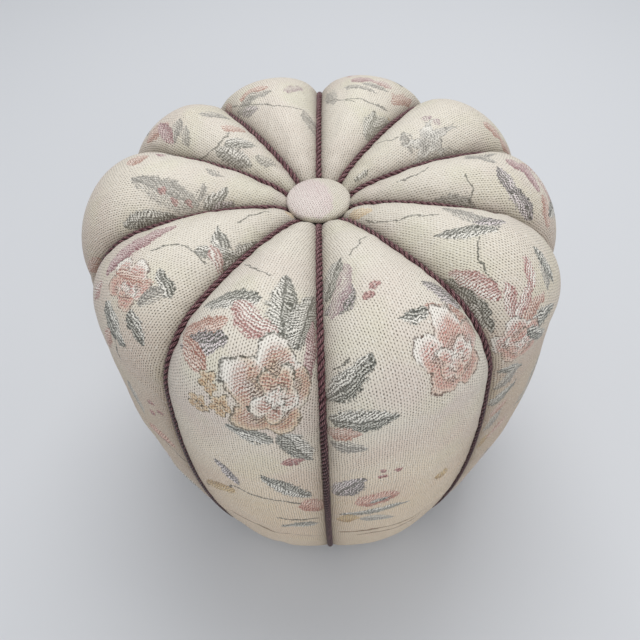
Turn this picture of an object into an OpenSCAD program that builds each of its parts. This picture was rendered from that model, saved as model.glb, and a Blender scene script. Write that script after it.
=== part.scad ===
// Round channelled ottoman: ten stuffed gores of tapestry, a twisted cord in every seam and
// a covered button in the middle, over a drum of two boards, posts and a fibreboard wall.
// The origin is on the floor under the middle of the button, +Z is up, and -Y is the front.

/* [Outline] */
// Radius of the seams at the belly, their widest ring
belly_r = 204; // [196:1:212]
// Height of the belly over the floor
belly_h = 214; // [200:1:230]
// Height of the seams where they cross the crest of the top
crest_h = 363; // [350:1:380]
// Radius of the crest, the ring where the top is highest
crest_r = 108; // [98:1:118]
// Radius of the shallow curve over the crest
top_arc_r = 276; // [240:2:320]
// Ring inside which the seams dive towards the button
dip_r = 48; // [42:1:54]
// Radius of the curve by which they dive
dip_arc_r = 52; // [48:1:70]
// Radius of the curve at the shoulder
shoulder_r = 58; // [50:1:64]
// Radius of the long curve down the side
side_arc_r = 750; // [640:10:900]
// Radius of the curve under the hem
hem_arc_r = 24; // [20:1:28]
// Height of the underside of the hem over the floor
underside_h = 15; // [13:0.5:22]

/* [Gores] */
// Number of gores, each one stuffed channel
gores = 10; // [8:1:11]
// How far a gore swells above its seams on the top
top_swell = 21; // [14:1:26]
// How far a gore swells beyond its seams below the shoulder
shoulder_swell = 12; // [8:1:18]
// How far a gore swells beyond its seams low on the side
side_swell = 4; // [2:0.5:8]
// Rise of a narrow gore near the button, as a share of its width
narrow_rise = 0.28; // [0.2:0.02:0.34]
// Thickness of the tapestry
cover_t = 1.2; // [0.8:0.1:1.6]
// Radius of the hole in the middle of the cover, under the button
cover_hole_r = 18; // [16:1:20]
// Length of hem that lies flat under the base board
hem_flat = 10; // [8:0.5:12]

/* [Seam cord] */
// Diameter of the twisted cord
cord_d = 5.3; // [4:0.1:6]
// Gap between the cord and what it lies against
cord_gap = 0.3; // [0.2:0.05:0.5]

/* [Button] */
// Diameter over the cloth
button_d = 56; // [50:1:62]
// Height of the button at its middle
button_h = 12; // [11:0.5:16]
// Radius of the roll of its rim
button_rim_r = 4; // [3.4:0.1:4.8]
// Wadding between the cloth and the metal mould
button_wad_t = 2.4; // [1.6:0.2:3]
// Thickness of the metal mould and of its back plate
button_metal_t = 0.8; // [0.6:0.1:1.2]
// Radius of the bend of the wire eye
eye_r = 3.6; // [3.2:0.1:4.4]
// Diameter of the wire of the eye
eye_wire_d = 1.6; // [1.2:0.1:1.8]
// Diameter of the twine that pulls the button down
twine_d = 2; // [1.4:0.1:2.4]
// Diameter of the wooden toggle that the twine goes round
toggle_d = 8; // [6:0.5:10]
// Length of the toggle
toggle_l = 44; // [32:1:60]

/* [Padding] */
// Thickness of the foam over the top board, under the crest
top_pad_t = 52; // [40:1:64]
// Thickness of the foam outside the wall, level with the top board
side_pad_t = 26; // [20:1:32]
// Diameter of the twine's hole through the foam
pad_hole_d = 16; // [15:0.5:22]

/* [Frame] */
// Thickness of the plywood of both boards
board_t = 12; // [9:1:18]
// Thickness of the fibreboard wall
wall_t = 3.5; // [2.5:0.5:5]
// Gap where the ends of the rolled wall meet, at the back
wall_joint_gap = 1; // [0.5:0.5:3]
// Diameter of the twine's hole in the top board
twine_hole_d = 15; // [14.5:0.5:20]
// Diameter of the hole in the base board, for tying the twine
access_d = 40; // [30:1:42]
// Number of posts between the boards
posts = 4; // [3:1:4]
// Width and depth of a post
post_w = 30; // [22:1:36]
// How far the middle of a post stands in from the foot of the wall
post_inset = 54.3; // [46:0.1:62]

/* [Fasteners] */
// Diameter of a post screw
screw_d = 4.5; // [3.5:0.5:5.5]
// Length of a post screw
screw_l = 45; // [35:1:60]
// Diameter of the countersunk head of a post screw
screw_head_d = 9; // [8:0.5:11]
// Diameter of a tack's shank
tack_d = 1.6; // [1.2:0.2:2]
// Diameter of a tack's head
tack_head_d = 7; // [5:0.5:8]
// Thickness of a tack's head
tack_head_t = 1.2; // [0.8:0.1:1.4]
// Length of a tack under its head
tack_l = 9; // [7:0.5:11]
// Number of tacks round each end of the wall
wall_tack_count = 16; // [10:1:20]
// Number of tacks that hold the hem of one gore
hem_tacks_per_gore = 2; // [1:1:3]
// Width of a staple in the dust cover
staple_w = 10; // [8:1:12]
// Length of a staple's legs
staple_l = 8; // [6:0.5:10]
// Diameter of the wire of a staple
staple_wire_d = 1; // [0.8:0.1:1.2]

/* [Underside] */
// Thickness of the cloth of the dust cover
dust_t = 0.8; // [0.5:0.1:1.2]
// How far the dust cover reaches past the edge of the hem
dust_lap = 6.5; // [5:0.5:8]
// Number of glides
glides = 4; // [3:1:5]
// Widest diameter of a glide
glide_d = 28; // [22:1:32]
// Diameter of the face that a glide stands on
glide_foot_d = 20; // [14:1:21]
// Height of a glide's rounded foot
glide_foot_h = 3.5; // [2.5:0.5:5]
// How far the middle of a glide stands in from the edge of the hem
glide_inset = 26.6; // [22:0.1:33]
// Diameter of a glide's nail
nail_d = 3.2; // [2.6:0.2:4]
// How far a nail reaches into the base board
nail_bite = 9.6; // [6:0.2:11]

/* [Hidden] */
$fn = 48;
fine_fn = 96;
wire_fn = 24;

tapestry = [0.80, 0.75, 0.65];
plum = [0.33, 0.16, 0.18];
cream = [0.93, 0.92, 0.88];
foam_yellow = [0.90, 0.84, 0.62];
plywood = [0.78, 0.62, 0.42];
fibreboard = [0.52, 0.40, 0.28];
pine = [0.86, 0.72, 0.50];
steel = [0.66, 0.67, 0.69];
black_cloth = [0.10, 0.10, 0.11];
brown_plastic = [0.22, 0.15, 0.11];

// Drift of each seam from even spacing, in degrees, as a hand-sewn cover has it
seam_drift = [-1, 2, 2.5, -1, -2, -2, -2.5, -6, -3, -1];
// Fullness of each gore beside an even one, as hand stuffing leaves it
fullness = [1, 1.2, 1, 1.1, 1, 1, 1.2, 1.1, 0.7, 1];
// Clearance of pieces that fit into or over each other
fit = 0.1;
// How far a cutting shape runs past the face that it opens
past = 1;
// Head of a wall tack, and how deep it is sunk in the fibreboard
wall_tack_head_d = 4.8;
wall_tack_sink = 0.4;
// How far the cloth of the button is turned in beside the back plate
button_turn_in = 1.2;
// Height of the back plate over the underside of that cloth
back_z = 0.2;
// Width of the upset ends of the eye beside its wire
eye_upset = 1.8;
// How far the staples stand in from the edge of the hem
staple_in = 4;
// Width of the bevel round the top of a glide
glide_bevel = 2;
// Head of a glide's nail: its height over the floor and its thickness
nail_head_z = 2.5;
nail_head_t = 1.5;
// Segments across a gore, and round a cord
across = 8;
cord_sides = 8;
// Segments along each stretch of a seam
dip_n = 3;
top_n = 4;
shoulder_n = 6;
side_n = 5;
hem_n = 3;

function seam_a(i) = -90 + floor(i / gores) * 360 + (i % gores) * 360 / gores
    + seam_drift[i % gores % len(seam_drift)];
function gore_span(g) = seam_a(g + 1) - seam_a(g);
function gore_mid(g) = (seam_a(g + 1) + seam_a(g)) / 2;
widest_span = max([for (g = [0:gores - 1]) gore_span(g)]);

// Distance from a seam's plane to the edge of the gore beside it
seam_half = cord_d / 2 + cord_gap;
// How far the flat facets of the stuffing cut in from a true circle
facet_sag = belly_r * (1 - cos(widest_span / 4 * sin(180 / across)));
// Depth of the foam and of the underside of the stuffing below the seam line
foam_set = cord_d / 2 + cord_gap;
stuffing_set = foam_set - cord_gap - facet_sag;

// Where two circles round c1 and c2 cross, on the upper side
function crossing(c1, r1, c2, r2) =
    let (d = norm(c2 - c1), way = (c2 - c1) / d, a = (r1 * r1 - r2 * r2 + d * d) / (2 * d))
    c1 + a * way + sqrt(r1 * r1 - a * a) * [-way.y, way.x];

// Centres of the curves of the seam line, as radius and height: each runs into the next
top_c = [crest_r, crest_h - top_arc_r];
dip_join_a = acos((dip_r - crest_r) / top_arc_r);
dip_c = top_c + (top_arc_r - dip_arc_r) * [cos(dip_join_a), sin(dip_join_a)];
side_c = [belly_r - side_arc_r, belly_h];
shoulder_c = crossing(side_c, side_arc_r - shoulder_r, top_c, top_arc_r - shoulder_r);
hem_h = underside_h + hem_arc_r;
hem_c = [side_c.x + sqrt(pow(side_arc_r - hem_arc_r, 2) - pow(hem_h - belly_h, 2)), hem_h];

// Angles at which one curve of the seam line ends and the next starts
start_a = acos((cover_hole_r - dip_c.x) / dip_arc_r);
top_join_a = atan2(shoulder_c.y - top_c.y, shoulder_c.x - top_c.x);
side_join_a = atan2(shoulder_c.y - side_c.y, shoulder_c.x - side_c.x);
hem_join_a = atan2(hem_c.y - side_c.y, hem_c.x - side_c.x);
end_a = -90;

// Stations of one curve: radius, height, and the direction that points out of the cover
function stations(c, r, a0, a1, n, first = 1) =
    [for (i = [first:n]) let (a = a0 + (a1 - a0) * i / n)
        [c.x + r * cos(a), c.y + r * sin(a), cos(a), sin(a)]];
hem_edge_r = hem_c.x - hem_flat;
seam_line = concat(
    stations(dip_c, dip_arc_r, start_a, dip_join_a, dip_n, 0),
    stations(top_c, top_arc_r, dip_join_a, top_join_a, top_n),
    stations(shoulder_c, shoulder_r, top_join_a, side_join_a, shoulder_n),
    stations(side_c, side_arc_r, side_join_a, hem_join_a, side_n),
    stations(hem_c, hem_arc_r, hem_join_a, end_a, hem_n),
    [[hem_edge_r, underside_h, 0, -1]]);

// The station at the end of each stretch
top_end = dip_n + top_n;
shoulder_end = top_end + shoulder_n;
side_end = shoulder_end + side_n;
hem_end = side_end + hem_n;
last_station = hem_end + 1;
// The stuffing and the foam end where the hem starts to turn under
last_padded = hem_end - 1;

// How far the middle of gore g swells at station k
function swell(g, k) =
    let (wide = fullness[g % len(fullness)] * gore_span(g) * gores / 360,
        chord = 2 * seam_line[k][0] * sin(gore_span(g) / 2) - 2 * seam_half)
    k <= top_end ? min(top_swell * wide, narrow_rise * chord)
    : k <= shoulder_end
        ? wide * (top_swell + (shoulder_swell - top_swell) * pow((k - top_end) / shoulder_n, 2))
    : k <= side_end
        ? wide * (side_swell + (shoulder_swell - side_swell) * pow((side_end - k) / side_n, 2))
    : wide * side_swell * max(0, 1 - (k - side_end) / hem_n);

// Plump section of a gore: 1 in the middle, 0 at the seams
function crown(t) = pow(1 - pow(abs(t), 2.2), 0.65);

// One row of points across gore g, set in from the cover's face and from its seams
function gore_row(g, k, set_in, seam_in, plump = 1) =
    let (s = seam_line[k], half = gore_span(g) / 2 - asin((seam_half + seam_in) / s[0]))
    [for (j = [0:across])
        let (t = sin(180 * j / across - 90), out = plump * swell(g, k) * crown(t) - set_in,
            r = s[0] + out * s[2], a = gore_mid(g) + t * half)
        [r * cos(a), r * sin(a), s[1] + out * s[3]]];

function quad(a, b, c, d) = [[a, b, c], [a, c, d]];

// A closed sheet between two grids of points with as many rows and columns
module sheet(outer, inner) {
    rows = len(outer) - 1;
    cols = len(outer[0]) - 1;
    inner_at = len(outer) * len(outer[0]);
    function o(i, j) = i * (cols + 1) + j;
    function n(i, j) = inner_at + o(i, j);
    faces = concat(
        [for (i = [0:rows - 1], j = [0:cols - 1])
            each quad(o(i, j), o(i, j + 1), o(i + 1, j + 1), o(i + 1, j))],
        [for (i = [0:rows - 1], j = [0:cols - 1])
            each quad(n(i, j), n(i + 1, j), n(i + 1, j + 1), n(i, j + 1))],
        [for (i = [0:rows - 1]) each quad(o(i, 0), o(i + 1, 0), n(i + 1, 0), n(i, 0))],
        [for (i = [0:rows - 1])
            each quad(o(i + 1, cols), o(i, cols), n(i, cols), n(i + 1, cols))],
        [for (j = [0:cols - 1]) each quad(o(0, j + 1), o(0, j), n(0, j), n(0, j + 1))],
        [for (j = [0:cols - 1])
            each quad(o(rows, j), o(rows, j + 1), n(rows, j + 1), n(rows, j))]);
    polyhedron(points = concat([for (row = outer) each row], [for (row = inner) each row]),
        faces = faces);
}

// One panel of tapestry, from under the button to the flat of its hem
module gore(g) {
    color(tapestry)
        sheet([for (k = [0:last_station]) gore_row(g, k, 0, 0)],
            [for (k = [0:last_station]) gore_row(g, k, cover_t, cover_t)]);
}

// The filling of one channel, between its gore and the foam
module stuffing(g) {
    color(cream)
        sheet([for (k = [0:last_padded]) gore_row(g, k, cover_t, cover_t)],
            [for (k = [0:last_padded]) gore_row(g, k, stuffing_set, cover_t, 0)]);
}

// The points round a cord at station k of seam i
function cord_ring(i, k) =
    let (s = seam_line[k], a = seam_a(i))
    [for (j = [0:cord_sides - 1])
        let (q = 360 * (j + 0.5) / cord_sides, up = cord_d / 2 * cos(q), side = cord_d / 2 * sin(q),
            r = s[0] + up * s[2])
        [r * cos(a) - side * sin(a), r * sin(a) + side * cos(a), s[1] + up * s[3]]];

// The cord of one seam, one unbroken tube from under the button to the edge of the base board
module seam_cord(i) {
    function at(k, j) = k * cord_sides + j % cord_sides;
    color(plum) polyhedron(
        points = [for (k = [0:hem_end]) each cord_ring(i, k)],
        faces = concat(
            [for (k = [0:hem_end - 1], j = [0:cord_sides - 1])
                each quad(at(k, j), at(k, j + 1), at(k + 1, j + 1), at(k + 1, j))],
            [for (j = [1:cord_sides - 2]) [at(0, 0), at(0, j + 1), at(0, j)]],
            [for (j = [1:cord_sides - 2])
                [at(hem_end, 0), at(hem_end, j), at(hem_end, j + 1)]]));
}

// Heights and radii of the frame, worked out from the outline
base_z = underside_h + cover_t;
base_top_z = base_z + board_t;
deck_z = crest_h - foam_set - top_pad_t;
top_board_z = deck_z - board_t;
wall_z = base_z + board_t / 3;
wall_foot_r = hem_c.x - cord_gap;
wall_head_r = side_c.x + sqrt(pow(side_arc_r - foam_set, 2) - pow(deck_z - belly_h, 2))
    - side_pad_t - wall_t;
// Inner radius of the tapered wall at a height
function wall_in(z) = wall_foot_r + (wall_head_r - wall_foot_r) * (z - wall_z) / (deck_z - wall_z);
function wall_out(z) = wall_in(z) + wall_t;

// A plywood disc whose edge is bevelled to the wall
module board_blank(z) {
    rotate_extrude($fn = fine_fn)
        polygon([[0, z], [wall_in(z) - fit, z], [wall_in(z + board_t) - fit, z + board_t],
            [0, z + board_t]]);
}

module base_board() {
    color(plywood) difference() {
        board_blank(base_z);
        translate([0, 0, base_z - past]) cylinder(d = access_d, h = board_t + 2 * past);
        for (i = [0:posts - 1]) base_screw(i, fit);
        for (i = [0:glides - 1]) at_glide(i) glide_nail(fit);
        for (i = [0:wall_tack_count - 1]) wall_tack(i, wall_foot_tack_z, fit);
        for (g = [0:gores - 1], i = [0:hem_tacks_per_gore - 1]) hem_tack(g, i, fit);
        for (g = [0:gores - 1]) dust_staple(g, fit);
    }
}

module top_board() {
    color(plywood) difference() {
        board_blank(top_board_z);
        translate([0, 0, top_board_z - past]) cylinder(d = twine_hole_d, h = board_t + 2 * past);
        for (i = [0:posts - 1]) deck_screw(i, fit);
        for (i = [0:wall_tack_count - 1]) wall_tack(i, wall_head_tack_z, fit);
    }
}

// The fibreboard wall, rolled to a taper, with its ends butted at the back
module side_wall() {
    color(fibreboard) difference() {
        rotate_extrude($fn = fine_fn)
            polygon([[wall_in(wall_z), wall_z], [wall_out(wall_z), wall_z],
                [wall_out(deck_z), deck_z], [wall_in(deck_z), deck_z]]);
        translate([-wall_joint_gap / 2, 0, 0]) cube([wall_joint_gap, belly_r, crest_h]);
        for (i = [0:wall_tack_count - 1]) {
            wall_tack(i, wall_foot_tack_z, fit);
            wall_tack(i, wall_head_tack_z, fit);
        }
    }
}

module at_post(i) {
    rotate([0, 0, 45 + 360 * i / posts])
        translate([wall_foot_r - post_inset, 0, 0]) children();
}

// A post between the boards, with a pilot hole at each end
module post(i) {
    color(pine) difference() {
        at_post(i) translate([-post_w / 2, -post_w / 2, base_top_z])
            cube([post_w, post_w, top_board_z - base_top_z]);
        base_screw(i, fit);
        deck_screw(i, fit);
    }
}

// A countersunk screw, its head flush at height 0 and its point up
module countersunk(grow) {
    head_l = (screw_head_d - screw_d) / 2;
    translate([0, 0, -grow]) cylinder(d = screw_head_d + 2 * grow, h = 2 * grow);
    translate([0, 0, grow])
        cylinder(d1 = screw_head_d + 2 * grow, d2 = screw_d + 2 * grow, h = head_l);
    cylinder(d = screw_d + 2 * grow, h = screw_l + grow);
}

module base_screw(i, grow) {
    at_post(i) translate([0, 0, base_z]) countersunk(grow);
}

module deck_screw(i, grow) {
    at_post(i) translate([0, 0, deck_z]) rotate([180, 0, 0]) countersunk(grow);
}

module post_screws() {
    color(steel) for (i = [0:posts - 1]) {
        base_screw(i, 0);
        deck_screw(i, 0);
    }
}

// A tack with its head from height 0 to its thickness, and its point up
module tack(head_d, grow) {
    translate([0, 0, -grow]) cylinder(d = head_d + 2 * grow, h = tack_head_t + grow, $fn = wire_fn);
    cylinder(d = tack_d + 2 * grow, h = tack_head_t + tack_l + grow, $fn = wire_fn);
}

wall_foot_tack_z = base_top_z - board_t / 3;
wall_head_tack_z = top_board_z + board_t / 2;

// A tack driven through the wall into the edge of a board, its head sunk in the fibreboard
module wall_tack(i, z, grow) {
    out = wall_out(z) - wall_tack_sink;
    rotate([0, 0, 360 * (i + 0.5) / wall_tack_count]) translate([out, 0, z])
        rotate([0, -90, 0]) {
            tack(wall_tack_head_d, grow);
            if (grow > 0) translate([0, 0, -past])
                cylinder(d = wall_tack_head_d + 2 * grow, h = past, $fn = wire_fn);
        }
}

module wall_tacks() {
    color(steel) for (i = [0:wall_tack_count - 1]) {
        wall_tack(i, wall_foot_tack_z, 0);
        wall_tack(i, wall_head_tack_z, 0);
    }
}

// Outline of the foam under the cover, as radius and height
foam_line = [for (k = [0:last_padded]) let (s = seam_line[k])
    [s[0] - foam_set * s[2], s[1] - foam_set * s[3]]];
// Where the disc of foam meets the band round the side
split_r = wall_out(deck_z);
split_k = max([for (k = [0:shoulder_end]) if (foam_line[k].x <= split_r) k]);
split_z = let (p = foam_line[split_k], q = foam_line[split_k + 1])
    p.y + (q.y - p.y) * (split_r - p.x) / (q.x - p.x);

// Disc of foam on the top board
module top_pad() {
    color(foam_yellow) difference() {
        rotate_extrude($fn = fine_fn)
            polygon(concat([[0, deck_z], [0, foam_line[0].y]],
                [for (k = [0:split_k]) foam_line[k]],
                [[split_r, split_z], [split_r, deck_z]]));
        translate([0, 0, deck_z - past]) cylinder(d = pad_hole_d, h = top_pad_t + 2 * past);
    }
}

// Band of foam round the wall
module side_pad() {
    foot = foam_line[last_padded];
    color(foam_yellow) rotate_extrude($fn = fine_fn)
        polygon(concat([[split_r + fit, deck_z], [split_r + fit, split_z - fit]],
            [for (k = [split_k + 1:last_padded]) foam_line[k]],
            [[wall_out(foot.y) + fit, foot.y]]));
}

button_r = button_d / 2;
button_flat_r = button_r - button_rim_r;
// Height of the underside of the button over its lowest face, at a radius
function rim_lift(r) = r <= button_flat_r ? 0
    : button_rim_r - sqrt(pow(button_rim_r, 2) - pow(min(r, button_r) - button_flat_r, 2));
// Line along the top of gore g, and along the top of a cord, up to the crest
function ridge(g, k) = let (s = seam_line[k], rise = swell(g, k))
    [s[0] + rise * s[2], s[1] + rise * s[3]];
ridge_points = [for (g = [0:gores - 1], k = [0:top_end - 1], f = [0:0.1:1])
    ridge(g, k) * (1 - f) + ridge(g, k + 1) * f];
cord_points = [for (f = [0:0.02:1]) let (a = start_a + (dip_join_a - start_a) * f)
    dip_c + (dip_arc_r + cord_d / 2) * [cos(a), sin(a)]];
// The button is pulled down until it rests on the gores and the cords, to a hundredth
button_z = ceil(100 * (cord_gap + max([for (p = concat(ridge_points, cord_points))
    if (p.x < button_r) p.y - rim_lift(p.x)]))) / 100;
back_r = button_flat_r - button_turn_in;

// Section of a button with a rolled rim under one wide curve, its flat face at height 0
module button_blank(r, h, rim) {
    flat_r = r - rim;
    cap_r = (flat_r * flat_r + pow(h - rim, 2) - rim * rim) / (2 * (h - 2 * rim));
    touch = [0, h - cap_r] + cap_r / (cap_r - rim) * [flat_r, rim - (h - cap_r)];
    rotate_extrude($fn = fine_fn) {
        translate([flat_r, rim]) circle(r = rim);
        intersection() {
            translate([0, h - cap_r]) circle(r = cap_r, $fn = 4 * fine_fn);
            polygon([[0, 0], [flat_r, 0], [flat_r, rim], touch, [touch.x, h], [0, h]]);
        }
    }
}

// The same section set in by a distance from its rim and its top
module button_core(set_in) {
    rim = max(button_rim_r - set_in, button_metal_t);
    translate([0, 0, button_z + cover_t])
        button_blank(button_r - set_in, button_h - cover_t - set_in, rim);
}

// Cloth cap, turned in under the rim as far as the back plate
module button_cover() {
    color(tapestry) difference() {
        translate([0, 0, button_z]) button_blank(button_r, button_h, button_rim_r);
        button_core(cover_t);
        translate([0, 0, button_z - past])
            cylinder(r = back_r + fit, h = cover_t + 2 * past, $fn = fine_fn);
    }
}

module button_wadding() {
    color(cream) difference() {
        button_core(cover_t + fit);
        translate([0, 0, -fit]) button_core(cover_t + button_wad_t);
    }
}

module button_mould() {
    color(steel) difference() {
        button_core(cover_t + button_wad_t + 2 * fit);
        translate([0, 0, -fit]) button_core(cover_t + button_wad_t + 2 * fit + button_metal_t);
    }
}

// Round plate that closes the mould, with two holes for the ends of the eye
module button_back() {
    color(steel) translate([0, 0, button_z + back_z]) difference() {
        cylinder(r = back_r, h = button_metal_t, $fn = fine_fn);
        for (side = [-1, 1]) translate([0, side * eye_r, -past])
            cylinder(d = eye_wire_d + 2 * fit, h = button_metal_t + 2 * past, $fn = wire_fn);
    }
}

// Wire eye under the back plate, with its ends upset inside the mould
module button_eye() {
    inside_z = back_z + button_metal_t + fit;
    color(steel) translate([0, 0, button_z]) {
        rotate([0, 0, 90]) rotate([90, 0, 0]) rotate([0, 0, 180])
            rotate_extrude(angle = 180) translate([eye_r, 0]) circle(d = eye_wire_d, $fn = wire_fn);
        for (side = [-1, 1]) translate([0, side * eye_r, 0]) {
            cylinder(d = eye_wire_d, h = inside_z + eye_wire_d / 2, $fn = wire_fn);
            translate([0, 0, inside_z])
                cylinder(d = eye_upset * eye_wire_d, h = eye_wire_d / 2, $fn = wire_fn);
        }
    }
}

// Half width of the loop of twine, and the heights of its two bends
loop_r = toggle_d / 2 + twine_d / 2 + fit;
loop_top_z = button_z - eye_r + eye_wire_d / 2 + twine_d / 2 + fit - loop_r;
toggle_z = top_board_z - toggle_d / 2 - fit;

// Half a ring of twine in the plane of X and Z, turned to face up or down
module twine_bend(z, turn) {
    translate([0, 0, z]) rotate([90, turn, 0])
        rotate_extrude(angle = 180) translate([loop_r, 0]) circle(d = twine_d, $fn = wire_fn);
}

// A loop of twine through the eye of the button and round the toggle
module button_twine() {
    color(cream) {
        twine_bend(loop_top_z, 0);
        twine_bend(toggle_z, 180);
        for (side = [-1, 1]) translate([side * loop_r, 0, toggle_z])
            cylinder(d = twine_d, h = loop_top_z - toggle_z, $fn = wire_fn);
    }
}

// Wooden toggle drawn up against the top board
module twine_toggle() {
    color(pine) translate([0, 0, toggle_z]) rotate([90, 0, 0])
        cylinder(d = toggle_d, h = toggle_l, center = true);
}

// A tack just inside the edge of the hem, its head holding the cloth against the board
module hem_tack(g, i, grow) {
    a = gore_mid(g) + gore_span(g) * ((i + 0.5) / hem_tacks_per_gore - 0.5);
    rotate([0, 0, a])
        translate([hem_edge_r - tack_d / 2 - 2 * fit, 0, underside_h - tack_head_t])
            tack(tack_head_d, grow);
}

module hem_tacks() {
    color(steel) for (g = [0:gores - 1], i = [0:hem_tacks_per_gore - 1]) hem_tack(g, i, 0);
}

dust_top_z = underside_h - tack_head_t;
dust_z = dust_top_z - dust_t;

// Black cloth over the whole underside, pricked by the staples and the nails
module dust_cover() {
    color(black_cloth) difference() {
        translate([0, 0, dust_z])
            cylinder(r = hem_edge_r + dust_lap, h = dust_t, $fn = fine_fn);
        for (i = [0:glides - 1]) at_glide(i) glide_nail(fit);
        for (g = [0:gores - 1]) dust_staple(g, fit);
    }
}

// A staple through the dust cover into the base board, in line with a seam
module dust_staple(g, grow) {
    wire_z = dust_z - staple_wire_d / 2 - fit;
    rotate([0, 0, seam_a(g)]) translate([hem_edge_r - staple_in, 0, wire_z]) {
        rotate([90, 0, 0])
            cylinder(d = staple_wire_d, h = staple_w, center = true, $fn = wire_fn);
        for (side = [-1, 1]) translate([0, side * (staple_w - staple_wire_d) / 2, 0])
            cylinder(d = staple_wire_d + 2 * grow, h = staple_l + grow, $fn = wire_fn);
    }
}

module dust_staples() {
    color(steel) for (g = [0:gores - 1]) dust_staple(g, 0);
}

module at_glide(i) {
    rotate([0, 0, 360 * i / glides]) translate([hem_edge_r - glide_inset, 0, 0]) children();
}

nail_head_d = 2 * nail_d;

module glide_nail(grow) {
    translate([0, 0, nail_head_z - grow]) cylinder(d = nail_head_d + 2 * grow,
        h = nail_head_t + 2 * grow, $fn = wire_fn);
    translate([0, 0, nail_head_z])
        cylinder(d = nail_d + 2 * grow, h = base_z + nail_bite - nail_head_z + grow, $fn = wire_fn);
}

// A turned plastic glide, cupped from below round the head of its nail
module glide(i) {
    seat_r = glide_d / 2 - glide_bevel;
    color(brown_plastic) at_glide(i) difference() {
        rotate_extrude() polygon([[0, 0], [glide_foot_d / 2, 0], [glide_d / 2, glide_foot_h],
            [glide_d / 2, dust_z / 2], [seat_r, dust_z], [0, dust_z]]);
        translate([0, 0, -past])
            cylinder(d = nail_head_d + 2 * fit, h = nail_head_z + past, $fn = wire_fn);
        glide_nail(fit);
    }
}

module glide_nails() {
    color(steel) for (i = [0:glides - 1]) at_glide(i) glide_nail(0);
}

base_board();
top_board();
side_wall();
for (i = [1:posts]) post(i - 1);
post_screws();
wall_tacks();
top_pad();
side_pad();
for (g = [1:gores]) stuffing(g - 1);
for (g = [1:gores]) gore(g - 1);
for (g = [1:gores]) seam_cord(g - 1);
button_cover();
button_wadding();
button_mould();
button_back();
button_eye();
button_twine();
twine_toggle();
hem_tacks();
dust_cover();
dust_staples();
for (i = [1:glides]) glide(i - 1);
glide_nails();
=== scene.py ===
# %% [markdown]
# # A channelled ottoman with cord in its seams
#
# The real thing is a round drum of plywood, foam and wadding under a cover of ten gores. A twisted
# cord is sewn into every seam, and a covered button pulls the middle down. The solids of the frame
# already hold the true sizes, so this lesson dresses them: cloth, cord, button and what lies
# underneath. Everything is in metres, with the origin on the floor under the button.

# %% The frame
import math

import bmesh
import bpy
import numpy as np
from mathutils import Matrix, Vector


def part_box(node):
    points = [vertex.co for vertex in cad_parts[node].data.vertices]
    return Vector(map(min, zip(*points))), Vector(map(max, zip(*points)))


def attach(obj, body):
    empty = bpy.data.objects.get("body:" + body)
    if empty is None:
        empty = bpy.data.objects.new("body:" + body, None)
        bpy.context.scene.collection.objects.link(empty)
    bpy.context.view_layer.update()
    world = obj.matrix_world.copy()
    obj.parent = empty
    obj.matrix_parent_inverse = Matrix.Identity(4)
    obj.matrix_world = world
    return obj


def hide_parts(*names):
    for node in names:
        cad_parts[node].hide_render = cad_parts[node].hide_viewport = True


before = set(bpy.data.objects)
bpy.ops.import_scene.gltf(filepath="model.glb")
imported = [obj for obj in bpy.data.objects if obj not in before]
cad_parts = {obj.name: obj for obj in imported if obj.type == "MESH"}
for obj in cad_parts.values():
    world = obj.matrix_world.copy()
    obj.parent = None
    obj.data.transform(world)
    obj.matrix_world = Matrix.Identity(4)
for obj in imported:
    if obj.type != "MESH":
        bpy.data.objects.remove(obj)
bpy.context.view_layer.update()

print("nodes in the frame:", len(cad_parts))

# %% [markdown]
# ## Camera
#
# The camera stands where the photograph was taken from: in front, looking steeply down, and
# tilted a little. Its place was found from the seams and the button. Blender measures a lens
# against a sensor 36 mm wide, so the focal length in pixels is turned into millimetres.

# %% The camera
photo_px = 640
focal_px = 610.7
optical_centre_px = (318.6, 319.0)
camera_place = Vector((0, -0.4162, 0.6956))
look_down, look_right, tilt = math.radians(50.40), math.radians(-0.72), math.radians(-2.996)

ahead = Vector((math.sin(look_right) * math.cos(look_down),
                math.cos(look_right) * math.cos(look_down), -math.sin(look_down)))
level_right = Vector((math.cos(look_right), -math.sin(look_right), 0))
level_up = level_right.cross(ahead)
camera_right = math.cos(tilt) * level_right + math.sin(tilt) * level_up
camera_up = math.cos(tilt) * level_up - math.sin(tilt) * level_right

camera_data = bpy.data.cameras.new("camera")
camera_data.sensor_width = 36
camera_data.lens = focal_px * camera_data.sensor_width / photo_px
camera_data.shift_x = 0.5 - optical_centre_px[0] / photo_px
camera_data.shift_y = optical_centre_px[1] / photo_px - 0.5
camera_data.clip_start, camera_data.clip_end = 0.01, 100
camera = bpy.data.objects.new("camera", camera_data)
turn = Matrix((camera_right, camera_up, -ahead)).transposed().to_4x4()
camera.matrix_world = Matrix.Translation(camera_place) @ turn
bpy.context.scene.collection.objects.link(camera)
bpy.context.scene.camera = camera
bpy.context.scene.view_settings.view_transform = "Standard"
print("lens: %.2f mm" % camera_data.lens)

# %% [markdown]
# ## Floor and light
#
# A plain pale floor and soft studio light, so that the cloth's own colours show. One wide lamp
# hangs overhead and a little behind, as the light falls in the photograph, a weaker one fills the
# front, and a pale sky lifts the shadows. The floor is large, so no view sees its edge.

# %% Floor, sky and lamps
def new_object(name, data):
    """Puts new data into the scene under a name, at the origin."""
    made = bpy.data.objects.new(name, data)
    bpy.context.scene.collection.objects.link(made)
    return made


def new_mesh(name, points, faces):
    """A mesh object from points and faces given as index tuples."""
    mesh = bpy.data.meshes.new(name)
    mesh.from_pydata([tuple(p) for p in points], [], [tuple(f) for f in faces])
    mesh.update()
    return new_object(name, mesh)


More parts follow.
